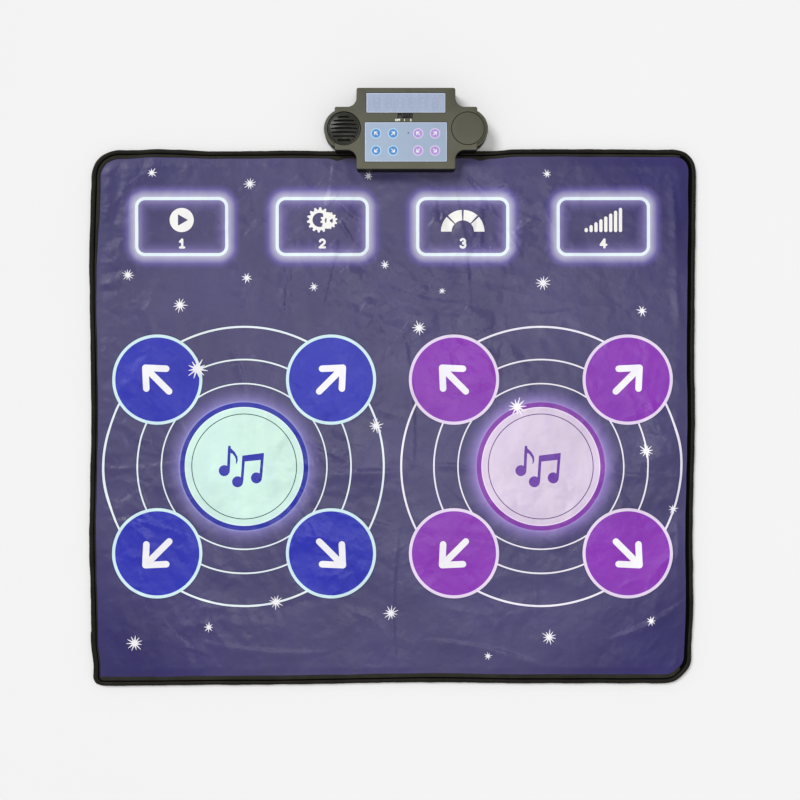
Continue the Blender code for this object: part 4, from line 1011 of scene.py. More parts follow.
def make_stitches(seam, material):
    """Stitches a pitch apart along the seam, each a short round-ended thread."""
    sizes = {"Pitch": 0.0034, "Half length": 0.0012, "Half width": 0.00034, "Half height": 0.00024}
    tree, given, result = new_tree("stitch_row", sizes, material)
    nodes, links = tree.nodes, tree.links
    line = nodes.new("GeometryNodeMeshToCurve")
    spaced = nodes.new("GeometryNodeResampleCurve")
    spaced.mode = "LENGTH"
    thread = nodes.new("GeometryNodeMeshUVSphere")
    thread.inputs["Segments"].default_value = 8
    thread.inputs["Rings"].default_value = 5
    thread.inputs["Radius"].default_value = 1.0
    shape = nodes.new("ShaderNodeCombineXYZ")
    sized = nodes.new("GeometryNodeTransform")
    tangent = nodes.new("GeometryNodeInputTangent")
    aim = nodes.new("FunctionNodeAlignRotationToVector")
    aim.axis = "X"
    copies = nodes.new("GeometryNodeInstanceOnPoints")
    links.new(given.outputs["Geometry"], line.inputs[0])
    links.new(line.outputs[0], spaced.inputs["Curve"])
    links.new(given.outputs["Pitch"], spaced.inputs["Length"])
    for index, size in enumerate(("Half length", "Half width", "Half height")):
        links.new(given.outputs[size], shape.inputs[index])
    links.new(thread.outputs[0], sized.inputs["Geometry"])
    links.new(shape.outputs[0], sized.inputs["Scale"])
    links.new(tangent.outputs[0], aim.inputs["Vector"])
    links.new(spaced.outputs[0], copies.inputs["Points"])
    links.new(sized.outputs[0], copies.inputs["Instance"])
    links.new(aim.outputs[0], copies.inputs["Rotation"])
    finish_tree(tree, given, result, copies.outputs[0])
    mesh = bpy.data.meshes.new("binding_stitches")
    count = len(seam)
    mesh.from_pydata(seam.tolist(), [(index, (index + 1) % count) for index in range(count)], [])
    row = link(bpy.data.objects.new("binding_stitches", mesh))
    nodes_modifier("stitch_row", row, tree, **{"Finish": material})
    stand_for(row, slot="binding_tape")


def make_backing(look, rubber):
    """The fabric under the mat, and the raised grip dots printed on it."""
    low, high = 0.00068, backing_box[1].z
    outline = even_steps(mat_loop(COVER_INSET), 0.02)
    plate_x, plate_y = centre_of("clamp_plate")
    reach = reach_of("clamp_plate")
    opening = rounded_box((plate_x, plate_y), (reach[0] + GAP, reach[1] + GAP), 0.0009, 2)
    places, triangles = net_over([outline, opening])
    middles = places[triangles].mean(axis=1)
    keep = inside(middles, np.array(outline)) & ~inside(middles, np.array(opening))
    heights = np.full(len(places), high)
    inks = ["backing"] * int(keep.sum())
    backing = slab("backing_cloth", as_laid(places), triangles[keep], heights, low, inks, {"backing": look})
    stand_for(backing, "bottom_backing", slot="backing_fabric")
    pitch = 0.0170
    rows = np.arange(-half_y, half_y, pitch * math.sqrt(0.75))
    columns = np.arange(-half_x, half_x, pitch)
    x, y = np.meshgrid(columns, rows)
    x = x + np.where(np.arange(len(rows)) % 2, pitch / 2, 0.0)[:, None]
    x, y = x.ravel(), y.ravel()
    clear = (np.abs(x - plate_x) > reach[0] + 0.006) | (np.abs(y - plate_y) > reach[1] + 0.006)
    under_unit = (np.abs(x - unit_x) < 0.078) & (y > front_box[0].y - 0.004)
    kept = (rim_distance(x, y) > max(BINDING_WIDTHS.values()) + 0.005) & clear & ~under_unit
    dots = make_grip_dots(np.column_stack((x[kept], y[kept], np.full(kept.sum(), low))), rubber)


def make_grip_dots(points, material):
    tree, given, result = new_tree("grip_dots", {"Radius": 0.0021, "Height": 0.00066}, material)
    nodes, links = tree.nodes, tree.links
    dot = nodes.new("GeometryNodeMeshCone")
    dot.inputs["Vertices"].default_value = 10
    dot.inputs["Radius Top"].default_value = 0.62
    dot.inputs["Radius Bottom"].default_value = 1.0
    dot.inputs["Depth"].default_value = 1.0
    shape = nodes.new("ShaderNodeCombineXYZ")
    turned_down = nodes.new("ShaderNodeMath")
    turned_down.operation = "MULTIPLY"
    turned_down.inputs[1].default_value = -1.0
    sized = nodes.new("GeometryNodeTransform")
    copies = nodes.new("GeometryNodeInstanceOnPoints")
    flip = nodes.new("GeometryNodeFlipFaces")
    links.new(given.outputs["Radius"], shape.inputs[0])
    links.new(given.outputs["Radius"], shape.inputs[1])
    links.new(given.outputs["Height"], turned_down.inputs[0])
    links.new(turned_down.outputs[0], shape.inputs[2])
    links.new(dot.outputs[0], sized.inputs["Geometry"])
    links.new(shape.outputs[0], sized.inputs["Scale"])
    links.new(sized.outputs[0], flip.inputs[0])
    links.new(given.outputs["Geometry"], copies.inputs["Points"])
    links.new(flip.outputs[0], copies.inputs["Instance"])
    finish_tree(tree, given, result, copies.outputs[0], smooth=False)
    mesh = bpy.data.meshes.new("grip_dots")
    mesh.from_pydata(points.tolist(), [], [])
    dots = link(bpy.data.objects.new("grip_dots", mesh))
    nodes_modifier("grip_dots", dots, tree, **{"Finish": material})
    return stand_for(dots, slot="backing_fabric")


def make_foam(look):
    """The spacer foam between the films, with a hole at each pressure zone."""
    outline = even_steps(mat_loop(COVER_INSET), 0.02)
    holes = [circle(centre_of(name), reach_of(name)[0] + GAP, 96) for name in ROUND_ZONES]
    for name in MENU_ZONES:
        reach = reach_of(name)
        holes.append(rounded_box(centre_of(name), (reach[0] + GAP, reach[1] + GAP), KEY_CORNER))
    holes += clamp_holes()
    places, triangles = net_over([outline] + holes)
    middles = places[triangles].mean(axis=1)
    keep = inside(middles, np.array(outline))
    for hole in holes:
        keep &= ~inside(middles, np.array(hole))
    heights = np.full(len(places), foam_box[1].z)
    inks = ["foam"] * int(keep.sum())
    foam = slab("foam_layer", as_laid(places), triangles[keep], heights, foam_box[0].z, inks, {"foam": look})
    stand_for(foam, "spacer_foam", slot="spacer_foam")


# The control unit: its outline in plan from its own middle, then its step, edge, wall and pockets
BLOCK_REACH = (0.0730, 0.0600)
BLOCK_CORNER = 0.0030
EAR_END = 0.1053
EAR_HALF_WIDTH = 0.0320
EAR_CORNER = 0.0025
EAR_FILLET = 0.0135
ROUND_X = 0.0915
ROUND_RADIUS = 0.0265
RING_RADIUS = 0.0298
RING_DROP = 0.0030
FACE_EDGE = 0.0012
CASE_WALL = 0.0022
POCKET_DEPTH = 0.0040
face_top = front_box[1].z
ring_top = face_top - RING_DROP
pocket_floor = face_top - POCKET_DEPTH


def unit_outline(grow, round_end=RING_RADIUS):
    """Outline of the unit, grown outwards, with the round ends at the radius given."""
    block_x, block_y = BLOCK_REACH[0] + grow, BLOCK_REACH[1] + grow
    ear_x, ear_y = EAR_END + grow, EAR_HALF_WIDTH + grow
    outer, inner = RING_RADIUS + grow, round_end + grow
    shoulder_y = math.sqrt(outer**2 - (ear_x - ROUND_X) ** 2)
    meet_y = math.sqrt(inner**2 - (ear_x - ROUND_X) ** 2)
    block_corner = max(BLOCK_CORNER + grow, GAP)
    ear_corner = max(min(EAR_CORNER + grow, ear_y - shoulder_y - GAP), GAP / 2)
    fillet_at = (BLOCK_REACH[0] + EAR_FILLET, EAR_HALF_WIDTH + EAR_FILLET)
    quarter = arc((block_x - block_corner, block_y - block_corner), block_corner, 90, 0, 6)
    quarter += arc(fillet_at, EAR_FILLET - grow, 180, 270, 14)
    quarter += arc((ear_x - ear_corner, ear_y - ear_corner), ear_corner, 90, 0, 6)
    quarter.append((ear_x, shoulder_y + 1e-5))
    quarter += arc((ROUND_X, 0.0), inner, math.degrees(math.asin(meet_y / inner)), 0, 26)
    right = quarter + [(x, -y) for x, y in reversed(quarter[:-1])]
    whole = right + [(-x, y) for x, y in reversed(right)]
    return [(unit_x + x, unit_y + y) for x, y in whole]


def at_unit(x, y):
    return unit_x + x, unit_y + y


def rounded_edge(radius, steps):
    """Inset and drop at each step of a rounded top edge, from the wall up to the face."""
    for step in range(steps + 1):
        angle = math.radians(90 * step / steps)
        yield radius * (1 - math.cos(angle)), radius * (1 - math.sin(angle))


def flared(name, outline_of, low, top, flare):
    """A cutter for a pocket or opening, with a little chamfer where it breaks the face."""
    rings = [(outline_of(0.0), low), (outline_of(0.0), top - flare), (outline_of(flare), top)]
    rings.append((outline_of(flare), top + 0.003))
    return loft(name, rings)


def window_outline(node):
    centre, reach = centre_of(node), reach_of(node)

    def grown(grow):
        return rounded_box(centre, (reach[0] + grow, reach[1] + grow), 0.0012 + max(grow, -0.0008), 5)

    return grown


def knob_slot():
    body_x, body_y = centre_of("switch_body")
    reach = reach_of("switch_body")

    def grown(grow):
        return rounded_box((body_x, body_y), (reach[0] + grow, reach[1] - GAP + grow), 0.0008 + grow, 4)

    return grown


# How far off the ring's level, and inside the round end, a face still counts as part of the ring's shelf
SHELF_DEPTH = 0.0007
SHELF_SLACK = 0.0005


def on_ring_shelf(face):
    """Whether a face of the shell lies on the stepped ring round one of its round ends."""
    aside = abs(face.center.x - unit_x) - ROUND_X
    reach = math.hypot(aside, face.center.y - unit_y)
    level = abs(face.center.z - ring_top) < SHELF_DEPTH
    return level and face.normal.z > 0.3 and reach > ROUND_RADIUS - SHELF_SLACK


def make_front_cover(look, wall_shade_look):
    """The moulded shell: olive face and ring shelves, and walls and pockets below its edge painted black as
    painted shade.
    """
    rings = [(unit_outline(0.0), front_box[0].z)]
    for inset, drop in rounded_edge(0.0006, 3):
        rings.append((unit_outline(0.0, RING_RADIUS - inset), ring_top - drop))
    rings.append((unit_outline(0.0, ROUND_RADIUS), ring_top))
    for inset, drop in rounded_edge(FACE_EDGE, 5):
        rings.append((unit_outline(-inset, ROUND_RADIUS), face_top - drop))
    cover = loft("face_shell", rings, look)
    cut(cover, prism("cavity", unit_outline(-CASE_WALL), front_box[0].z - 0.001, pocket_floor - 0.0014))
    inner_x, inner_y = BLOCK_REACH[0] - 0.0085, BLOCK_REACH[1] - CASE_WALL
    inner = rounded_box(at_unit(0, 0), (inner_x, inner_y), 0.001, 2)
    cut(cover, prism("deep_cavity", inner, front_box[0].z, face_top - 0.0024))
    for node in ("score_window", "icon_window"):
        outline = window_outline(node)
        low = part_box(node)[0].z - GAP
        cut(cover, flared("window_seat", lambda grow: outline(grow + 2 * GAP), low, face_top, 0.00035))
        cut(cover, prism("window_opening", outline(-0.0015), front_box[0].z, face_top))
    cut(cover, flared("knob_slot", knob_slot(), face_top - 0.004, face_top, 0.0004))
    for node in ("speaker_grille", "blanking_cap"):
        centre, radius = centre_of(node), reach_of(node)[0]
        pocket = lambda grow: circle(centre, radius + 2 * GAP + grow, 128)
        cut(cover, flared("round_pocket", pocket, pocket_floor, face_top, 0.0005))
    grille_at = centre_of("speaker_grille")
    cut(cover, prism("sound_hole", circle(grille_at, 0.0215, 96), front_box[0].z, pocket_floor + 0.001))
    mark = rounded_box(at_unit(0.0008, 0.0568), (0.00022, 0.0030), 0.0002, 1)
    cut(cover, prism("mould_mark", mark, face_top - 0.00025, face_top + 0.001))
    crisp(cover)
    # Painted shade: faces below the rounded edge of the face, but for the ring shelves, take the case's
    # black, standing in for the shade on the walls and in the pockets.
    cover.data.materials.append(wall_shade_look)
    for face in cover.data.polygons:
        if face.center.z < face_top - FACE_EDGE and not on_ring_shelf(face):
            face.material_index = 1
    stand_for(cover, "front_cover", slot="housing_plastic")


def make_grille(look):
    """Domed grille whose level slats are rounded over into the slots between them."""
    low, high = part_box("speaker_grille")
    centre = centre_of("speaker_grille")
    radius = (high.x - low.x) / 2
    rim, rise, wall = 0.0022, 0.0036, 0.0016
    flange = low.z + 0.0017
    dome_radius = radius - rim
    crown = high.z

    def dome(reach, top, steps):
        sphere = (reach**2 + rise**2) / (2 * rise)
        spread = math.asin(reach / sphere)
        angles = [spread * step / steps for step in range(steps + 1)]
        return [(sphere * math.sin(angle), top - sphere * (1 - math.cos(angle))) for angle in angles]

    profile = dome(dome_radius, crown, 16)
    profile += [(dome_radius + 0.0002, flange - 0.0002), (dome_radius + 0.0007, flange + 0.0001)]
    profile += [(radius - 0.0005, flange + 0.0001), (radius - 0.0001, flange - 0.0003)]
    profile += [(radius, low.z), (dome_radius - wall, low.z)]
    profile += dome(dome_radius - wall, crown - wall, 10)[::-1]
    grille = turned("grille_dome", profile, 128, (*centre, 0.0), look)
    reach = dome_radius - wall
    slots, pitch, slot_half, slot_corner = 7, 0.00575, 0.0008, 0.00075
    for index in range(slots):
        middle = (index - (slots - 1) / 2) * pitch
        half = math.sqrt(reach**2 - (abs(middle) + 0.0011) ** 2)
        sphere = (dome_radius**2 + rise**2) / (2 * rise)
        edge = crown - sphere + math.sqrt(sphere**2 - middle**2 - (half * 0.55) ** 2)
        flare = [(0.0, low.z - 0.001), (0.0, edge - 0.0016), (0.0003, edge - 0.0009)]
        flare += [(0.0008, edge - 0.0002), (0.0013, edge + 0.0006), (0.0013, crown + 0.002)]
        at, rings = (centre[0], centre[1] + middle), []
        for grow, level in flare:
            outline = rounded_box(at, (half + grow, slot_half + grow), slot_corner + grow, 6)
            rings.append((outline, level))
        cut(grille, loft("slot", rings))
    crisp(grille, 50)
    stand_for(grille, "speaker_grille", slot="grille_plastic")


def make_cap(look):
    low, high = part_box("blanking_cap")
    radius = (high.x - low.x) / 2
    edge = 0.0008
    profile = [(0.0, high.z), (radius * 0.5, high.z - 0.00004), (radius - edge, high.z - 0.00012)]
    for inset, drop in list(rounded_edge(edge, 6))[::-1][1:]:
        profile.append((radius - inset, high.z - 0.00012 - drop))
    profile += [(radius, low.z), (radius - CASE_WALL, low.z)]
    profile += [(radius - CASE_WALL, high.z - CASE_WALL), (0.0, high.z - CASE_WALL)]
    cap = turned("cap_disc", profile, 128, (*centre_of("blanking_cap"), 0.0), look)
    stand_for(cap, "blanking_cap", slot="housing_plastic")


# The icon window's middle, icons and sensor dot in pixels, and how much smaller a pixel is at that height
ICON_WINDOW_PIXEL = (406.0, 141.6)
ICON_PLACES = ((376.0, 393.1, "blue"), (418.2, 435.1, "purple"))
ICON_ROWS = ((133.0, 1), (150.2, -1))
SENSOR_DOT_PIXEL = (408.5, 132.5)
FACE_SCALE = 0.982


def on_icon_window(centre, pixel):
    """Place on the icon window of a pixel of the photograph."""
    x = centre[0] + (pixel[0] - ICON_WINDOW_PIXEL[0]) * PIXEL * FACE_SCALE
    y = centre[1] + (ICON_WINDOW_PIXEL[1] - pixel[1]) * PIXEL * FACE_SCALE
    return x, y


def icon_print(centre):
    """Four small blue and four small purple signs, like those of the pads."""
    art = Print()
    for left, right, tint in ICON_PLACES:
        for px, along in ((left, -1), (right, 1)):
            for py, up in ICON_ROWS:
                at = on_icon_window(centre, (px, py))
                art.lay(tint + "_icon_ring", circle(at, 0.0077, 48))
                art.lay(tint + "_icon_disc", circle(at, 0.0063, 48))
                way = (along * math.sqrt(0.5), up * math.sqrt(0.5))
                print_arrow(art, "icon_white", at, way, 0.0062, 0.0013)
    art.lay("sensor_dot", circle(on_icon_window(centre, SENSOR_DOT_PIXEL), 0.0015, 20))
    return art


def segment_print(centre):
    """Six unlit figures of the score display, each of seven faint strokes."""
    art = Print()
    tall, wide, stroke = 0.0072, 0.0040, 0.0012
    for index in range(6):
        x, y = centre[0] + (index - 2.5) * 0.0170, centre[1]
        for up in (-1, 0, 1):
            ends = (x - wide + stroke, y + up * tall), (x + wide - stroke, y + up * tall)
            art.lay("segment_ghost", capsule(*ends, stroke, 3))
        for aside in (-wide, wide):
            for low, high in ((-tall, 0.0), (0.0, tall)):
                ends = (x + aside, y + low + stroke), (x + aside, y + high - stroke)
                art.lay("segment_ghost", capsule(*ends, stroke, 3))
    return art


def make_windows(looks):
    for node, tint in (("score_window", "score_panel"), ("icon_window", "icon_panel")):
        low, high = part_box(node)
        centre = centre_of(node)
        outline = even_steps(window_outline(node)(0.0), 0.004)
        art = Print()
        border = window_outline(node)(-0.0009)
        art.lay(tint, border)
        signs = icon_print(centre) if node == "icon_window" else segment_print(centre)
        art.shapes += signs.shapes
        loops = [outline] + art.loops()
        points = loose_points((low.x, low.y), (high.x, high.y), 0.004, loops, 9)
        places, triangles = net_over(loops, points[inside(points, np.array(outline))])
        middles = places[triangles].mean(axis=1)
        keep = inside(middles, np.array(outline))
        inks = art.inks_at(middles[keep], "panel_border")
        heights = np.full(len(places), high.z)
        window = slab(node + "_glaze", places, triangles[keep], heights, low.z, inks, looks)
        stand_for(window, node, slot="clear_window")


def ridge_profile(low, high, grooves, depth):
    """Side view of the knob: its top rises and falls in round ridges."""
    x0, x1 = low.x, high.x
    pitch = (x1 - x0) / (grooves + 1)
    top = [(x1, high.z - 0.0006), (x1 - 0.0004, high.z - 0.0001)]
    steps = (grooves + 1) * 10
    for step in range(1, steps):
        x = x1 - 0.0005 - (x1 - x0 - 0.001) * step / steps
        wave = 0.5 + 0.5 * math.cos(math.tau * ((x - x0) / pitch - 0.5))
        top.append((x, high.z - depth * (1 - wave) ** 1.5))
    return [(x0, low.z), (x1, low.z)] + top + [(x0 + 0.0004, high.z - 0.0001), (x0, high.z - 0.0006)]


def make_knob(look):
    low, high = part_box("switch_knob")
    profile = ridge_profile(low, high, 6, 0.0008)
    middle_x, middle_z = (low.x + high.x) / 2, (low.z + high.z) / 2
    work = bmesh.new()
    rows = []
    for share, shrink in ((0.0, 0.90), (0.02, 0.96), (0.07, 1.0), (0.93, 1.0), (0.98, 0.96), (1.0, 0.90)):
        y = low.y + (high.y - low.y) * share
        row = []
        for x, z in profile:
            up = z if z < middle_z else middle_z + (z - middle_z) * (0.5 + 0.5 * shrink)
            row.append(work.verts.new((middle_x + (x - middle_x) * (0.5 + 0.5 * shrink), y, up)))
        rows.append(row)
    for first, second in zip(rows, rows[1:]):
        for index in range(len(first)):
            work.faces.new((first[index - 1], first[index], second[index], second[index - 1]))
    caps = [work.faces.new(rows[0]), work.faces.new(rows[-1])]
    bmesh.ops.triangulate(work, faces=caps)
    knob = piece_from(work, "knob_ridged", look, 50)
    stand_for(knob, "switch_knob", body="switch_knob", slot="black_plastic")


# Marks of the switch: piece, text, and place across from the switch's middle
SWITCH_MARKS = (("label_off", "OFF", -0.0111), ("label_one", "1", -0.0010), ("label_two", "2", 0.0083))


def drawn_mesh(name, curve):
    """The mesh of a text or a curve."""
    drawn = link(bpy.data.objects.new(name, curve))
    bpy.context.view_layer.update()
    mesh = bpy.data.meshes.new_from_object(drawn.evaluated_get(bpy.context.evaluated_depsgraph_get()))
    bpy.data.objects.remove(drawn, do_unlink=True)
    return mesh


def make_switch_labels(look):
    """White marks under the slot for the three places of the switch."""
    slot_x, slot_y = centre_of("switch_body")
    for name, body, x in SWITCH_MARKS:
        text = bpy.data.curves.new(name, "FONT")
        text.body = body
        text.size = 0.0044
        text.extrude = 0.00003
        text.offset = 0.00016
        text.align_x = "CENTER"
        text.align_y = "CENTER"
        keep = drawn_mesh(name, text)
        keep.transform(Matrix.Translation((slot_x + x, slot_y - 0.0066, face_top + 0.00002)))
        keep.materials.clear()
        keep.materials.append(look)
        label = link(bpy.data.objects.new(name, keep))
        stand_for(label, slot="housing_plastic")


def make_rear_case(look):
    low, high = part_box("rear_case")
    split = front_box[0].z - GAP
    rings = [(unit_outline(-inset), low.z + rise) for inset, rise in list(rounded_edge(0.0018, 5))[::-1]]
    rings.append((unit_outline(0.0), split))
    case = loft("case_shell", rings, look)
    cut(case, prism("lip", unit_outline(-CASE_WALL - GAP), split - 0.002, high.z), "UNION")
    cut(case, prism("cavity", unit_outline(-CASE_WALL - GAP - 0.001), low.z + CASE_WALL, high.z + 0.001))
    mat_edge = half_y + GAP
    shelf_low = mat_top + GAP
    shelf_at = (unit_x, (front_box[0].y + mat_edge) / 2)
    shelf_reach = (mat_edge - front_box[0].y) / 2
    floor_block = rounded_box(
        (shelf_at[0], shelf_at[1] + CASE_WALL / 2), (BLOCK_REACH[0] - 0.001, shelf_reach), 0.0005, 1
    )
    mat_space = rounded_box(shelf_at, (0.13, shelf_reach), 0.0005, 1)
    cut(case, prism("raised_floor", floor_block, low.z + 0.001, shelf_low + CASE_WALL), "UNION")
    cut(case, prism("mat_space", mat_space, -0.001, shelf_low))
    door_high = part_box("battery_door")[1]
    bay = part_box("battery_contact_left")[0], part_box("battery_contact_right")[1]
    centre = ((bay[0].x + bay[1].x) / 2, (bay[0].y + bay[1].y) / 2)
    reach = ((bay[1].x - bay[0].x) / 2 + GAP, (bay[1].y - bay[0].y) / 2 + GAP)
    walls = rounded_box(centre, (reach[0] + 0.0015, reach[1] + 0.0015), 0.0015, 4)
    cut(case, prism("bay_walls", walls, low.z + GAP, bay[1].z + 0.002), "UNION")
    cut(case, prism("bay_space", rounded_box(centre, reach, 0.0004, 2), -0.001, bay[1].z + GAP))
    cut(case, prism("door_rebate", door_outline(GAP), -0.001, door_high.z + GAP))
    for index in range(1, 5):
        screw = f"housing_screw_{index}"
        radius = reach_of(screw)[0] + GAP
        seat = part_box(screw)[0].z + 0.0015
        boss = circle(centre_of(screw), radius + 0.0015, 40)
        cut(case, prism("boss", boss, low.z + GAP, seat + 0.0025), "UNION")
        cut(case, prism("recess", circle(centre_of(screw), radius, 40), -0.001, seat))
    crisp(case)
    stand_for(case, "rear_case", slot="housing_plastic")


def door_outline(grow):
    """The battery door in plan, with its screw tab towards the front."""
    low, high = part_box("battery_door")
    screw_x, screw_y = centre_of("battery_door_screw")
    tab_half, tab_front = 0.0092, low.y
    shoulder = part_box("battery_contact_left")[0].y - 0.0026
    corners = [(high.x, high.y), (low.x, high.y), (low.x, shoulder), (screw_x - tab_half, shoulder)]
    corners += [(screw_x - tab_half, tab_front), (screw_x + tab_half, tab_front)]
    corners += [(screw_x + tab_half, shoulder), (high.x, shoulder)]
    centre = ((low.x + high.x) / 2, (low.y + high.y) / 2)
    grown = []
    for x, y in corners:
        push_y = grow if y > centre[1] else -grow
        grown.append((x + (grow if x > centre[0] else -grow), y + push_y))
    return grown


def make_door(look):
    low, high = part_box("battery_door")
    rings = [(door_outline(-0.0004), low.z), (door_outline(0.0), low.z + 0.0004), (door_outline(0.0), high.z)]
    door = loft("door_plate", rings, look)
    screw = centre_of("battery_door_screw")
    cut(door, prism("screw_hole", circle(screw, 0.0031, 40), low.z - 0.001, high.z + 0.001))
    for index in range(5):
        y = high.y - 0.0060 - index * 0.0024
        grip = capsule((screw[0] - 0.011, y), (screw[0] + 0.011, y), 0.0010, 6)
        cut(door, prism("grip_line", grip, low.z - 0.001, low.z + 0.00035))
    crisp(door)
    stand_for(door, "battery_door", body="battery_door", slot="housing_plastic")


def cross_screw(name, node, look, body="mat_and_unit"):
    """A screw with its head down and a cross recess in the head."""
    low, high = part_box(node)
    head = (high.x - low.x) / 2
    shank = 0.0012
    head_high = low.z + 0.0012
    profile = [(0.0, high.z), (shank * 0.6, high.z), (shank, high.z - 0.0006), (shank, head_high)]
    profile += [(head, head_high - 0.0003), (head, low.z + 0.0003), (head - 0.0004, low.z), (0.0, low.z)]
    screw = turned(name, profile, 32, (*centre_of(node), 0.0), look)
    centre = centre_of(node)
    for across, along in ((head * 0.62, 0.00028), (0.00028, head * 0.62)):
        bar = rounded_box(centre, (across, along), 0.00012, 1)
        cut(screw, prism("recess", bar, low.z - 0.001, low.z + 0.0007))
    crisp(screw)
    stand_for(screw, node, body=body, slot="plated_steel")


def make_foot(node, look):
    low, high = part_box(node)
    radius = (high.x - low.x) / 2
    profile = [(0.0, high.z), (radius, high.z), (radius, low.z + 0.0006), (radius - 0.0002, low.z + 0.0002)]
    profile += [(radius - 0.0006, low.z), (0.0, low.z)]
    foot = turned(node + "_pad", profile, 48, (*centre_of(node), 0.0), look)
    stand_for(foot, node, slot="foot_rubber")


def make_springs(look):
    """Cone springs of the battery bay, each one wound wire."""
    for index in range(1, 4):
        node = f"battery_spring_{index}"
        low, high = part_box(node)
        wide = (high.z - low.z) / 2 - 0.0004
        centre_y, centre_z = (low.y + high.y) / 2, (low.z + high.z) / 2
        cell = centre_of(f"battery_cell_{index}")[0]
        narrow_at_high = cell > (low.x + high.x) / 2
        start, end = (low.x, high.x) if narrow_at_high else (high.x, low.x)
        start += math.copysign(0.0005, end - start)
        end -= math.copysign(0.0005, end - start)
        turns, steps = 5, 5 * 20
        curve = bpy.data.curves.new(node + "_wire", "CURVE")
        curve.dimensions = "3D"
        curve.bevel_depth = 0.0003
        curve.bevel_resolution = 2
        curve.use_fill_caps = True
        spline = curve.splines.new("POLY")
        spline.points.add(steps)
        for step, point in enumerate(spline.points):
            share = step / steps
            angle = math.tau * turns * share
            radius = wide + (0.0026 - wide) * share
            y, z = centre_y + radius * math.cos(angle), centre_z + radius * math.sin(angle)
            point.co = (start + (end - start) * share, y, z, 1.0)
        work = bmesh.new()
        work.from_mesh(drawn_mesh(node + "_wire", curve))
        wire = piece_from(work, node + "_wire", look, 60)
        stand_for(wire, node, slot="plated_steel")


def make_cells(look):
    for index in range(1, 4):
        node = f"battery_cell_{index}"
        low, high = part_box(node)
        radius, half = (high.z - low.z) / 2, (high.x - low.x) / 2
        centre = ((low.x + high.x) / 2, (low.y + high.y) / 2, (low.z + high.z) / 2)
        spring = centre_of(f"battery_spring_{index}")[0]
        axis = "X" if spring < centre[0] else "-X"
        nub, body_top = half, half - 0.0012
        profile = [(0.0, nub), (0.0021, nub), (0.0026, nub - 0.0003), (0.0026, body_top)]
        profile += [(radius - 0.0008, body_top), (radius - 0.0002, body_top - 0.0002)]
        profile += [(radius, body_top - 0.0008), (radius, -half + 0.0008)]
        profile += [(radius - 0.0006, -half + 0.0001), (radius - 0.0014, -half), (0.0, -half)]
        cell = turned(node + "_can", profile, 48, centre, look, axis=axis)
        stand_for(cell, node, slot="cell_sleeve")


# Node helpers for the procedural finishes
def linear(red, green, blue):
    """A colour given in 0 to 255 steps, as the shaders take it."""
    shares = []
    for part in (red, green, blue):
        share = part / 255
        shares.append(share / 12.92 if share <= 0.04045 else ((share + 0.055) / 1.055) ** 2.4)
    return (*shares, 1.0)


class Look:
    """A material with one Principled shader, and short ways to build its nodes."""

    def __init__(self, name, **settings):
        self.material = bpy.data.materials.new(name)
        self.material.use_nodes = True
        self.tree = self.material.node_tree
        self.shader = self.tree.nodes["Principled BSDF"]
        self.place = self.node("ShaderNodeTexCoord").outputs["Object"]
        for socket, value in settings.items():
            self.set(socket.replace("_", " ").title().replace("Ior", "IOR"), value)

    def node(self, kind, inputs=None, **settings):
        made = self.tree.nodes.new(kind)
        for key, value in settings.items():
            setattr(made, key, value)
        for key, value in (inputs or {}).items():
            self.feed(made.inputs[key], value)
        return made

    def feed(self, socket, value):
        if isinstance(value, Amount):
            value = value.socket
        if isinstance(value, bpy.types.NodeSocket):
            self.tree.links.new(value, socket)
        else:
            socket.default_value = value

    def set(self, socket, value):
        self.feed(self.shader.inputs[socket], value)

    def axes(self, centre=(0.0, 0.0, 0.0)):
        """The three coordinates, measured from a centre."""
        moved = self.node("ShaderNodeVectorMath", {0: self.place, 1: centre}, operation="SUBTRACT")
        split = self.node("ShaderNodeSeparateXYZ", {0: moved.outputs[0]})
        return [Amount(self, split.outputs[index]) for index in range(3)]

    def noise(self, scale, detail=2.0, rough=0.5, stretch=None, distortion=0.0):
        place = self.place
        if stretch is not None:
            place = self.node("ShaderNodeMapping", {"Vector": place, "Scale": stretch}).outputs[0]
        made = self.node(
            "ShaderNodeTexNoise",
            {"Vector": place, "Scale": scale, "Detail": detail, "Roughness": rough, "Distortion": distortion},
        )
        return Amount(self, made.outputs["Fac"])

    def cells(self, scale):
        made = self.node("ShaderNodeTexVoronoi", {"Vector": self.place, "Scale": scale})
        return Amount(self, made.outputs["Distance"])

    def mix(self, share, first, second, kind="MIX"):
        made = self.node("ShaderNodeMix", data_type="RGBA", blend_type=kind)
        self.feed(made.inputs[0], share)
        self.feed(made.inputs[6], first)
        self.feed(made.inputs[7], second)
        return made.outputs[2]

    def tint(self, colour, tone):
        """Set the base colour: the colour given, darker or paler with the tone."""
        grey = self.node("ShaderNodeCombineXYZ", {0: tone, 1: tone, 2: tone}).outputs[0]
        self.set("Base Color", self.mix(1.0, colour, grey, "MULTIPLY"))

    def ramp(self, share, stops):
        """A colour ramp from (place, colour) pairs. Returns its colour and its alpha."""
        made = self.node("ShaderNodeValToRGB", {0: share})
        elements = made.color_ramp.elements
        elements.remove(elements[1])
        elements[0].position, elements[0].color = stops[0]
        for at, colour in stops[1:]:
            elements.new(at).color = colour
        return made.outputs[0], made.outputs[1]

    def glow(self, distance, stops):
        """Printed light at a distance from an edge, as a colour and how much of it covers the ink."""
        low, high = stops[0][0], stops[-1][0]
        spots = [((at - low) / (high - low), (*linear(*colour)[:3], share)) for at, colour, share in stops]
        return self.ramp(distance.spread(low / 1000, high / 1000), spots)

    def bump(self, height, distance, strength=1.0, below=None):
        inputs = {"Height": height, "Distance": distance, "Strength": strength}
        if below is not None:
            inputs["Normal"] = below
        return self.node("ShaderNodeBump", inputs).outputs[0]


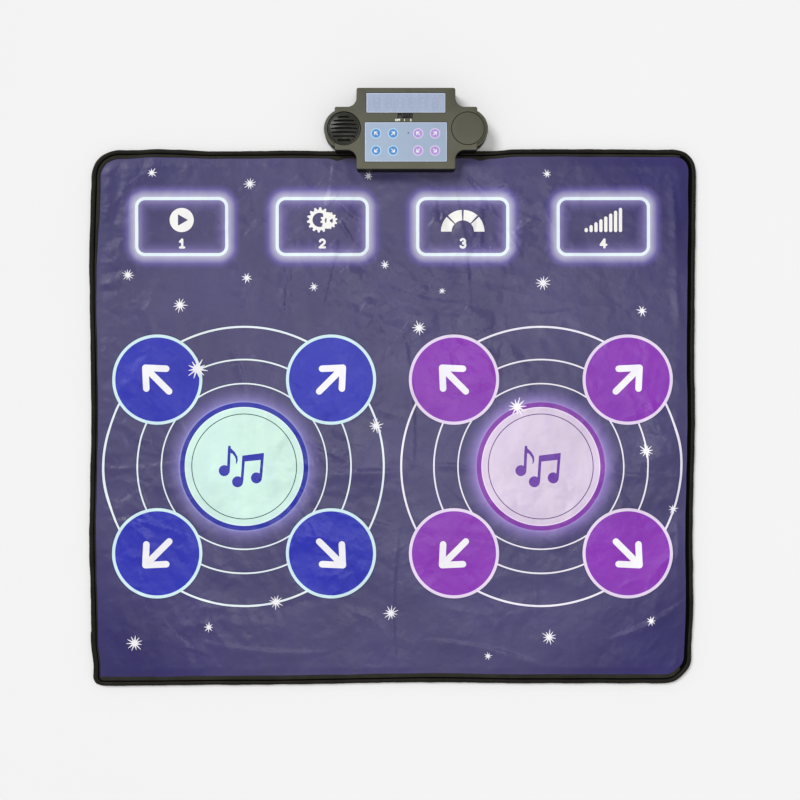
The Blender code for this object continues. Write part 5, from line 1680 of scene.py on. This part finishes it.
class Amount:
    """A number that varies over a surface, worked on with Python's own signs through Math nodes."""

    def __init__(self, look, socket):
        self.look = look
        self.socket = socket

    def do(self, operation, *others, clamp=False):
        made = self.look.tree.nodes.new("ShaderNodeMath")
        made.operation = operation
        made.use_clamp = clamp
        for socket, value in zip(made.inputs, (self, *others)):
            self.look.feed(socket, value)
        return Amount(self.look, made.outputs[0])

    def __add__(self, other):
        return self.do("ADD", other)

    def __sub__(self, other):
        return self.do("SUBTRACT", other)

    def __mul__(self, other):
        return self.do("MULTIPLY", other)

    def __truediv__(self, other):
        return self.do("DIVIDE", other)

    def size(self):
        return self.do("ABSOLUTE")

    def spread(self, low, high, to_low=0.0, to_high=1.0):
        """Map a range on to another, held at its ends."""
        ends = {0: self, 1: low, 2: high, 3: to_low, 4: to_high}
        made = self.look.node("ShaderNodeMapRange", ends, clamp=True)
        return Amount(self.look, made.outputs[0])

    def root_with(self, other):
        """Length of the vector with these two sides."""
        return (self * self + other * other).do("SQRT")


def frame_distance(look):
    """Distance over the mat from the outer edge of the nearest key frame, less than zero inside it."""
    reach = reach_of(MENU_ZONES[0])
    first, second = centre_of(MENU_ZONES[0]), centre_of(MENU_ZONES[1])
    pitch = second[0] - first[0]
    x, y, _ = look.axes((first[0] - pitch / 2, first[1], 0.0))
    key = (x / pitch).do("FLOOR").do("MAXIMUM", 0.0).do("MINIMUM", len(MENU_ZONES) - 1.0)
    along = (x - key * pitch - pitch / 2).size() - (reach[0] - KEY_CORNER)
    across = y.size() - (reach[1] - KEY_CORNER)
    outside = along.do("MAXIMUM", 0.0).root_with(across.do("MAXIMUM", 0.0))
    return outside + along.do("MAXIMUM", across).do("MINIMUM", 0.0) - KEY_CORNER


def centre_zone_distance(look):
    """Distance from the outer edge of the nearer centre pad."""
    zone_x, zone_y = centre_of("right_pad_centre")
    x, y, _ = look.axes((0.0, zone_y, 0.0))
    return (x.size() - zone_x).root_with(y) - reach_of("right_pad_centre")[0]


def small_zone_distance(look):
    """Distance from the outer edge of the nearest small pad."""
    zone_x, zone_y = centre_of("right_pad_centre")
    offset = centre_of("right_pad_upper_right")[0] - zone_x
    x, y, _ = look.axes((0.0, zone_y, 0.0))
    across = (x.size() - zone_x).size() - offset
    return across.root_with(y.size() - offset) - reach_of("right_pad_upper_right")[0]


def vinyl(name, colour, mottle=0.07, corner=None, roughness=0.36):
    """Printed vinyl: a slightly mottled ink under a soft satin coat with a fine leather grain."""
    look = Look(name, specular_ior_level=0.30, coat_weight=0.03, coat_roughness=0.30)
    ink = linear(*colour)
    # Painted sheen and shade: with a corner ink, the field is painted lighter and greyer in the middle,
    # standing in for reflected light, and darker towards the corners.
    if corner is not None:
        x, y, _ = look.axes()
        far = (x * y / (half_x * half_y)).size().spread(0.40, 0.74)
        ink = printed_glow(look, look.mix(far, ink, linear(*corner)))
    patchy = look.noise(9.0, 3.0).spread(0.3, 0.7, 1 - mottle, 1 + mottle)
    streaky = look.noise(60.0, 2.0, stretch=(1.0, 0.35, 1.0)).spread(0.3, 0.7, 1 - mottle / 2, 1 + mottle / 2)
    tone = look.node("ShaderNodeCombineXYZ", {0: patchy * streaky, 1: patchy * streaky, 2: patchy}).outputs[0]
    look.set("Base Color", look.mix(1.0, ink, tone, "MULTIPLY"))
    gloss = look.noise(25.0, 3.0).spread(0.3, 0.7, roughness - 0.05, roughness + 0.07)
    look.set("Roughness", gloss.socket)
    grain = look.cells(1500.0) * 0.5 + look.noise(700.0, 3.0)
    crumple = look.noise(75.0, 4.0, 0.6, distortion=0.6)
    rough_skin = look.bump(crumple, 0.0011, 0.30)
    look.set("Normal", look.bump(grain, 0.00008, 0.35, rough_skin))
    return look.material


def printed_glow(look, ink):
    """The printed light round the key frames and the centre pads, and the dark edge of the small pads."""
    colour, share = look.glow(frame_distance(look), FRAME_GLOW)
    ink = look.mix(share, ink, colour)
    halo = centre_zone_distance(look)
    bluish, share = look.glow(halo, LEFT_CENTRE_GLOW)
    lilac, _ = look.glow(halo, RIGHT_CENTRE_GLOW)
    x, _, _ = look.axes()
    ink = look.mix(share, ink, look.mix(x.spread(-0.001, 0.001), bluish, lilac))
    edge = small_zone_distance(look).spread(0.0, 0.0024, 0.55, 0.0)
    return look.mix(edge, ink, linear(40, 44, 74))


def ink_looks():
    """Each ink of the mat's print by name."""
    colours = {
        "orbit_mint": (232, 243, 249),
        "orbit_lilac": (240, 234, 248),
        "orbit_edge": (52, 52, 82),
        "blue_ring": (38, 46, 162),
        "mint": (211, 243, 232),
        "mint_rim": (232, 250, 254),
        "teal_line": (44, 74, 92),
        "blue_note": (40, 44, 168),
        "mint_ring": (210, 238, 244),
        "blue_disc": (40, 46, 176),
        "purple_ring": (128, 52, 164),
        "lavender": (216, 200, 224),
        "lavender_rim": (238, 220, 246),
        "plum_line": (86, 52, 118),
        "purple_note": (104, 50, 160),
        "lilac_ring": (230, 214, 240),
        "purple_disc": (136, 46, 178),
        "symbol_white": (246, 244, 250),
        "frame_line": (232, 246, 252),
        "icon_cream": (246, 244, 240),
        "star_white": (246, 244, 248),
    }
    looks = {name: vinyl("ink_" + name, colour) for name, colour in colours.items()}
    # The field's ink is painted lighter in the middle as painted sheen and darker towards the corners as
    # painted shade.
    looks["field"] = vinyl("ink_field_with_painted_sheen", (71, 66, 110), mottle=0.10, corner=(51, 45, 101))
    return looks


# Finishes of the binding, the backing, the control unit and what is inside it
def woven(name, colour, thread=2600.0, roughness=0.82, lift=0.35, shine=0.35, sheen=0.12):
    """Plain woven tape or cloth: crossing threads, slightly uneven in tone."""
    look = Look(name, roughness=roughness, sheen_weight=sheen, sheen_roughness=0.5, specular_ior_level=shine)
    x, y, _ = look.axes()
    warp = (x * thread).do("SINE")
    weft = (y * thread).do("SINE")
    weave = warp * weft
    tone = look.noise(35.0, 4.0, 0.6).spread(0.3, 0.7, 0.78, 1.28) * weave.spread(-1.0, 1.0, 0.90, 1.08)
    look.tint(linear(*colour), tone)
    fold = look.bump(look.noise(160.0, 3.0), 0.0006, lift)
    look.set("Normal", look.bump(weave, 0.00012, 0.5, fold))
    return look.material


def moulded(name, colour, roughness=0.42, grain=0.22, mottle=0.05, coat=0.0, shine=0.5, front=1.0, back=1.0):
    """Moulded plastic: a fine spark-eroded grain, faint flow marks and sharp edges painted paler as a painted
    highlight.

    The tone can run from the unit's front to its back: painted light, lighter at the front and darker at the
    back, standing in for the face's reflection.
    """
    look = Look(name, specular_ior_level=shine, coat_weight=coat, coat_roughness=0.25)
    flow = look.noise(18.0, 3.0, stretch=(1.0, 2.4, 1.0)).spread(0.3, 0.7, 1 - mottle, 1 + mottle)
    # Painted highlight: sharp edges are painted up to 1.3 times paler, standing in for the light that bevels
    # catch.
    edge_highlight = look.node("ShaderNodeNewGeometry").outputs["Pointiness"]
    edge = Amount(look, edge_highlight).spread(0.52, 0.60, 1.0, 1.30)
    tone = flow * edge
    # Painted light: the tone runs from front to back, standing in for the face's reflection.
    if front != back:
        _, y, _ = look.axes((unit_x, unit_y, 0.0))
        tone = tone * y.spread(-BLOCK_REACH[1], BLOCK_REACH[1], front, back)
    look.tint(linear(*colour), tone)
    look.set("Roughness", look.noise(40.0, 3.0).spread(0.3, 0.7, roughness - 0.04, roughness + 0.06).socket)
    fine = look.noise(2400.0, 2.0) + look.cells(1700.0) * 0.6
    look.set("Normal", look.bump(fine, 0.00005, grain))
    return look.material


def rubber(name, colour):
    look = Look(name, roughness=0.85, specular_ior_level=0.3)
    tone = look.noise(300.0, 3.0).spread(0.3, 0.7, 0.85, 1.2)
    look.tint(linear(*colour), tone)
    look.set("Normal", look.bump(look.noise(1800.0, 3.0), 0.00008, 0.4))
    return look.material


def foam(name, colour):
    """Open foam: small cells that catch the light at their rims."""
    look = Look(name, roughness=0.95, specular_ior_level=0.2)
    cells = look.cells(900.0)
    tone = cells.spread(0.0, 0.8, 0.6, 1.25)
    look.tint(linear(*colour), tone)
    look.set("Normal", look.bump(cells, 0.0004, 0.8))
    return look.material


def glaze(name, colour, streak=0.0, shade_drift=0.03):
    """Printed window film under clear gloss: a pale tint, painted lighter on the left and darker on the right
    of the pane as painted light.
    """
    look = Look(name, roughness=0.32, specular_ior_level=0.50, coat_weight=0.3, coat_roughness=0.06)
    x, _, _ = look.axes((unit_x, unit_y, 0.0))
    # Painted light: the tint runs lighter to the left and darker to the right, standing in for the reflection
    # across the pane.
    across = x.spread(-0.06, 0.06, 1 + shade_drift, 1 - shade_drift)
    soft = look.noise(55.0, 3.0).spread(0.3, 0.7, 0.975, 1.025)
    bars = look.noise(260.0, 1.0, stretch=(1.0, 0.12, 1.0)).spread(0.35, 0.65, 1 - streak, 1 + streak)
    tone = across * soft * bars
    look.tint(linear(*colour), tone)
    look.set("Normal", look.bump(look.noise(90.0, 2.0), 0.0002, 0.06))
    return look.material


def metal(name, colour, roughness=0.32):
    """Plated or stamped metal with a faint brushed grain and duller patches."""
    look = Look(name, metallic=1.0)
    grain = look.noise(400.0, 3.0, stretch=(0.1, 1.0, 1.0))
    tone = grain.spread(0.3, 0.7, 0.86, 1.08)
    look.tint(linear(*colour), tone)
    look.set("Roughness", look.noise(120.0, 4.0).spread(0.3, 0.7, roughness - 0.08, roughness + 0.12).socket)
    look.set("Normal", look.bump(grain, 0.00004, 0.3))
    return look.material


def circuit_board(name):
    """Green board with paler copper runs and solder points on a fine grid."""
    look = Look(name, roughness=0.38, specular_ior_level=0.5, coat_weight=0.3, coat_roughness=0.2)
    pitch = 0.00254
    x, y, _ = look.axes()
    lane = (x / pitch).do("FRACT") - 0.5
    cross = (y / pitch).do("FRACT") - 0.5
    pads = lane.root_with(cross).spread(0.14, 0.20, 1.0, 0.0)
    chosen = look.noise(140.0, 0.0).spread(0.50, 0.53)
    laid = look.noise(90.0, 0.0, stretch=(1.0, 0.2, 1.0)).spread(0.52, 0.55)
    runs = lane.size().spread(0.06, 0.11, 1.0, 0.0) * laid
    green = look.mix(runs, linear(24, 92, 52), linear(58, 138, 84))
    look.set("Base Color", look.mix(pads * chosen, green, linear(196, 190, 170)))
    look.set("Normal", look.bump(pads * chosen + runs, 0.0001, 0.5))
    return look.material


def contact_film(name):
    """Milky film with silver tracks that run along the mat."""
    look = Look(name, roughness=0.28, specular_ior_level=0.5)
    _, y, _ = look.axes()
    track = ((y / 0.012).do("FRACT") - 0.5).size().spread(0.05, 0.08, 1.0, 0.0)
    haze = look.noise(20.0, 3.0)
    milky = look.mix(haze, linear(196, 200, 204), linear(176, 182, 188))
    look.set("Base Color", look.mix(track, milky, linear(120, 122, 126)))
    look.set("Normal", look.bump(track, 0.00003, 0.4))
    return look.material


def cell_sleeve(name):
    """Battery sleeve: a plain dark wrap with ochre ends."""
    look = Look(name, roughness=0.30, specular_ior_level=0.5, coat_weight=0.4, coat_roughness=0.1)
    x, _, _ = look.axes((unit_x, 0.0, 0.0))
    band = x.size().spread(0.0152, 0.0154)
    wrap = look.mix(band, linear(46, 50, 58), linear(188, 150, 66))
    shade = look.noise(30.0, 2.0).spread(0.3, 0.7, 0.94, 1.06)
    look.tint(wrap, shade)
    look.set("Normal", look.bump(look.noise(800.0, 2.0), 0.00003, 0.2))
    return look.material


def window_looks():
    return {
        "panel_border": glaze("panel_border", (205, 214, 234)),
        "score_panel": glaze("score_panel", (161, 175, 200), streak=0.040, shade_drift=0.015),
        "icon_panel": glaze("icon_panel", (160, 178, 202), shade_drift=0.07),
        "sensor_dot": glaze("sensor_dot", (104, 122, 166)),
        "segment_ghost": glaze("segment_ghost", (151, 165, 191)),
        "blue_icon_ring": glaze("blue_icon_ring", (176, 216, 248)),
        "blue_icon_disc": glaze("blue_icon_disc", (70, 136, 200)),
        "purple_icon_ring": glaze("purple_icon_ring", (222, 204, 242)),
        "purple_icon_disc": glaze("purple_icon_disc", (178, 146, 214)),
        "icon_white": glaze("icon_white", (240, 244, 252)),
    }


def paint_nodes():
    """Finishes for the carried-over nodes, most of them inside the unit."""
    steel = metal("clamp_steel", (176, 176, 172))
    board = circuit_board("board_green")
    film = contact_film("film_tracks")
    black = moulded("switch_black", (26, 26, 27), 0.45)
    guide = moulded("light_guide_clear", (196, 206, 222), 0.25, coat=0.3)
    looks = {
        "clamp_plate": steel,
        "main_board": board,
        "display_board": board,
        "lower_contact_film": film,
        "upper_contact_film": film,
        "ribbon_tail": film,
        "ribbon_connector": black,
        "switch_body": black,
        "score_display": moulded("display_glass", (150, 164, 190), 0.2, coat=0.5),
        "icon_light_guide": guide,
        "speaker_basket": metal("speaker_frame", (140, 140, 138), 0.4),
        "speaker_magnet": metal("magnet_iron", (84, 84, 84), 0.5),
        "speaker_cone": woven("cone_paper", (44, 43, 41), 1800.0, 0.9),
        "battery_contact_left": steel,
        "battery_contact_right": steel,
    }
    for node, look in looks.items():
        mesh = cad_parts[node].data
        mesh.materials.clear()
        mesh.materials.append(look)


def make_unit():
    # The housing is painted 1.34 times lighter at its front and 0.86 at its back, as painted reflection.
    housing = moulded("housing_olive", (77, 76, 61), 0.44, shine=0.35, front=1.34, back=0.86)
    # Painted shade: the case's near-black stands in for the shade on the unit's lower walls; it also colours
    # the rear case and the battery door.
    case = moulded("case_shade_black", (15, 15, 14), 0.46, shine=0.12)
    steel = metal("screw_steel", (168, 168, 166))
    make_front_cover(housing, case)
    make_rear_case(case)
    make_grille(moulded("grille_dark", (42, 42, 36), 0.34, grain=0.12, shine=0.35))
    make_cap(housing)
    make_windows(window_looks())
    make_knob(moulded("knob_black", (20, 20, 20), 0.38))
    make_switch_labels(moulded("label_white", (238, 238, 232), 0.5))
    make_door(case)
    for index in range(1, 5):
        cross_screw(f"housing_screw_head_{index}", f"housing_screw_{index}", steel)
        cross_screw(f"clamp_screw_head_{index}", f"clamp_screw_{index}", steel)
    cross_screw("door_screw_head", "battery_door_screw", steel, body="battery_door")
    grip = rubber("foot_black", (26, 26, 27))
    for side in ("left", "right"):
        make_foot(f"rubber_foot_{side}", grip)
    make_springs(steel)
    make_cells(cell_sleeve("cell_wrap"))


def make_mat():
    make_skin(ink_looks())
    tape = woven("binding_black", (27, 25, 18), roughness=0.50, lift=0.7, shine=0.12, sheen=0.0)
    band = woven("binding_band", (45, 43, 37), roughness=0.70, lift=0.5, shine=0.10, sheen=0.0)
    # Painted shade: the groove's near-black stands in for the shade in the sewn groove.
    groove = woven("binding_groove", (5, 5, 4), roughness=0.80, lift=0.3, shine=0.03, sheen=0.0)
    thread = woven("thread_black", (15, 13, 10), 5200.0, 0.6, shine=0.08, sheen=0.0)
    make_binding(tape, band, groove, thread)
    make_backing(woven("backing_dark", (46, 46, 50), 1900.0), rubber("grip_dot_black", (22, 22, 24)))
    make_foam(foam("foam_grey", (66, 66, 70)))


# Light, floor and camera
def make_floor():
    mesh = bpy.data.meshes.new("floor")
    reach = 8.0
    corners = [(-reach, -reach, 0), (reach, -reach, 0), (reach, reach, 0), (-reach, reach, 0)]
    mesh.from_pydata(corners, [], [(0, 1, 2, 3)])
    floor = link(bpy.data.objects.new("floor", mesh))
    look = Look("studio_floor", roughness=0.9, specular_ior_level=0.1)
    tone = look.noise(3.0, 2.0).spread(0.0, 1.0, 0.0, 1.0)
    look.set("Base Color", look.mix(tone, linear(246, 246, 246), linear(244, 244, 244)))
    mesh.materials.append(look.material)
    floor.location.z = -0.0002


def make_world():
    world = bpy.data.worlds.new("studio")
    bpy.context.scene.world = world
    world.use_nodes = True
    nodes, links = world.node_tree.nodes, world.node_tree.links
    backdrop = nodes["Background"]
    backdrop.inputs["Color"].default_value = linear(245, 245, 245)
    backdrop.inputs["Strength"].default_value = 1.0
    light = nodes.new("ShaderNodeBackground")
    light.inputs["Color"].default_value = (1.0, 1.0, 1.0, 1.0)
    light.inputs["Strength"].default_value = 0.43
    path = nodes.new("ShaderNodeLightPath")
    blend = nodes.new("ShaderNodeMixShader")
    links.new(path.outputs["Is Camera Ray"], blend.inputs[0])
    links.new(light.outputs[0], blend.inputs[1])
    links.new(backdrop.outputs[0], blend.inputs[2])
    links.new(blend.outputs[0], nodes["World Output"].inputs["Surface"])


def make_lamps():
    sun = bpy.data.lights.new("window_light", "SUN")
    sun.energy = 1.55
    sun.angle = math.radians(24)
    lamp = link(bpy.data.objects.new("window_light", sun))
    lamp.rotation_euler = Vector((0.62, -0.55, -1.15)).to_track_quat("-Z", "Y").to_euler()
    panel = bpy.data.lights.new("soft_panel", "AREA")
    panel.energy = 42.0
    panel.shape = "RECTANGLE"
    panel.size = 1.7
    panel.size_y = 1.2
    lamp = link(bpy.data.objects.new("soft_panel", panel))
    lamp.location = (0.25, 0.05, 5.0)


def make_camera():
    data = bpy.data.cameras.new("camera")
    eye = bpy.data.objects.new("camera", data)
    x, y = on_mat(PICTURE_CENTRE_PIXEL)
    eye.location = (x, y, skin_top + CAMERA_HEIGHT)
    data.angle = 2 * math.atan(PICTURE_SIDE / 2 * PIXEL / CAMERA_HEIGHT)
    data.clip_start = 0.05
    bpy.context.scene.collection.objects.link(eye)
    bpy.context.scene.camera = eye


bpy.context.scene.view_settings.view_transform = "Standard"
make_camera()
make_world()
make_lamps()
make_floor()
make_mat()
make_unit()
paint_nodes()
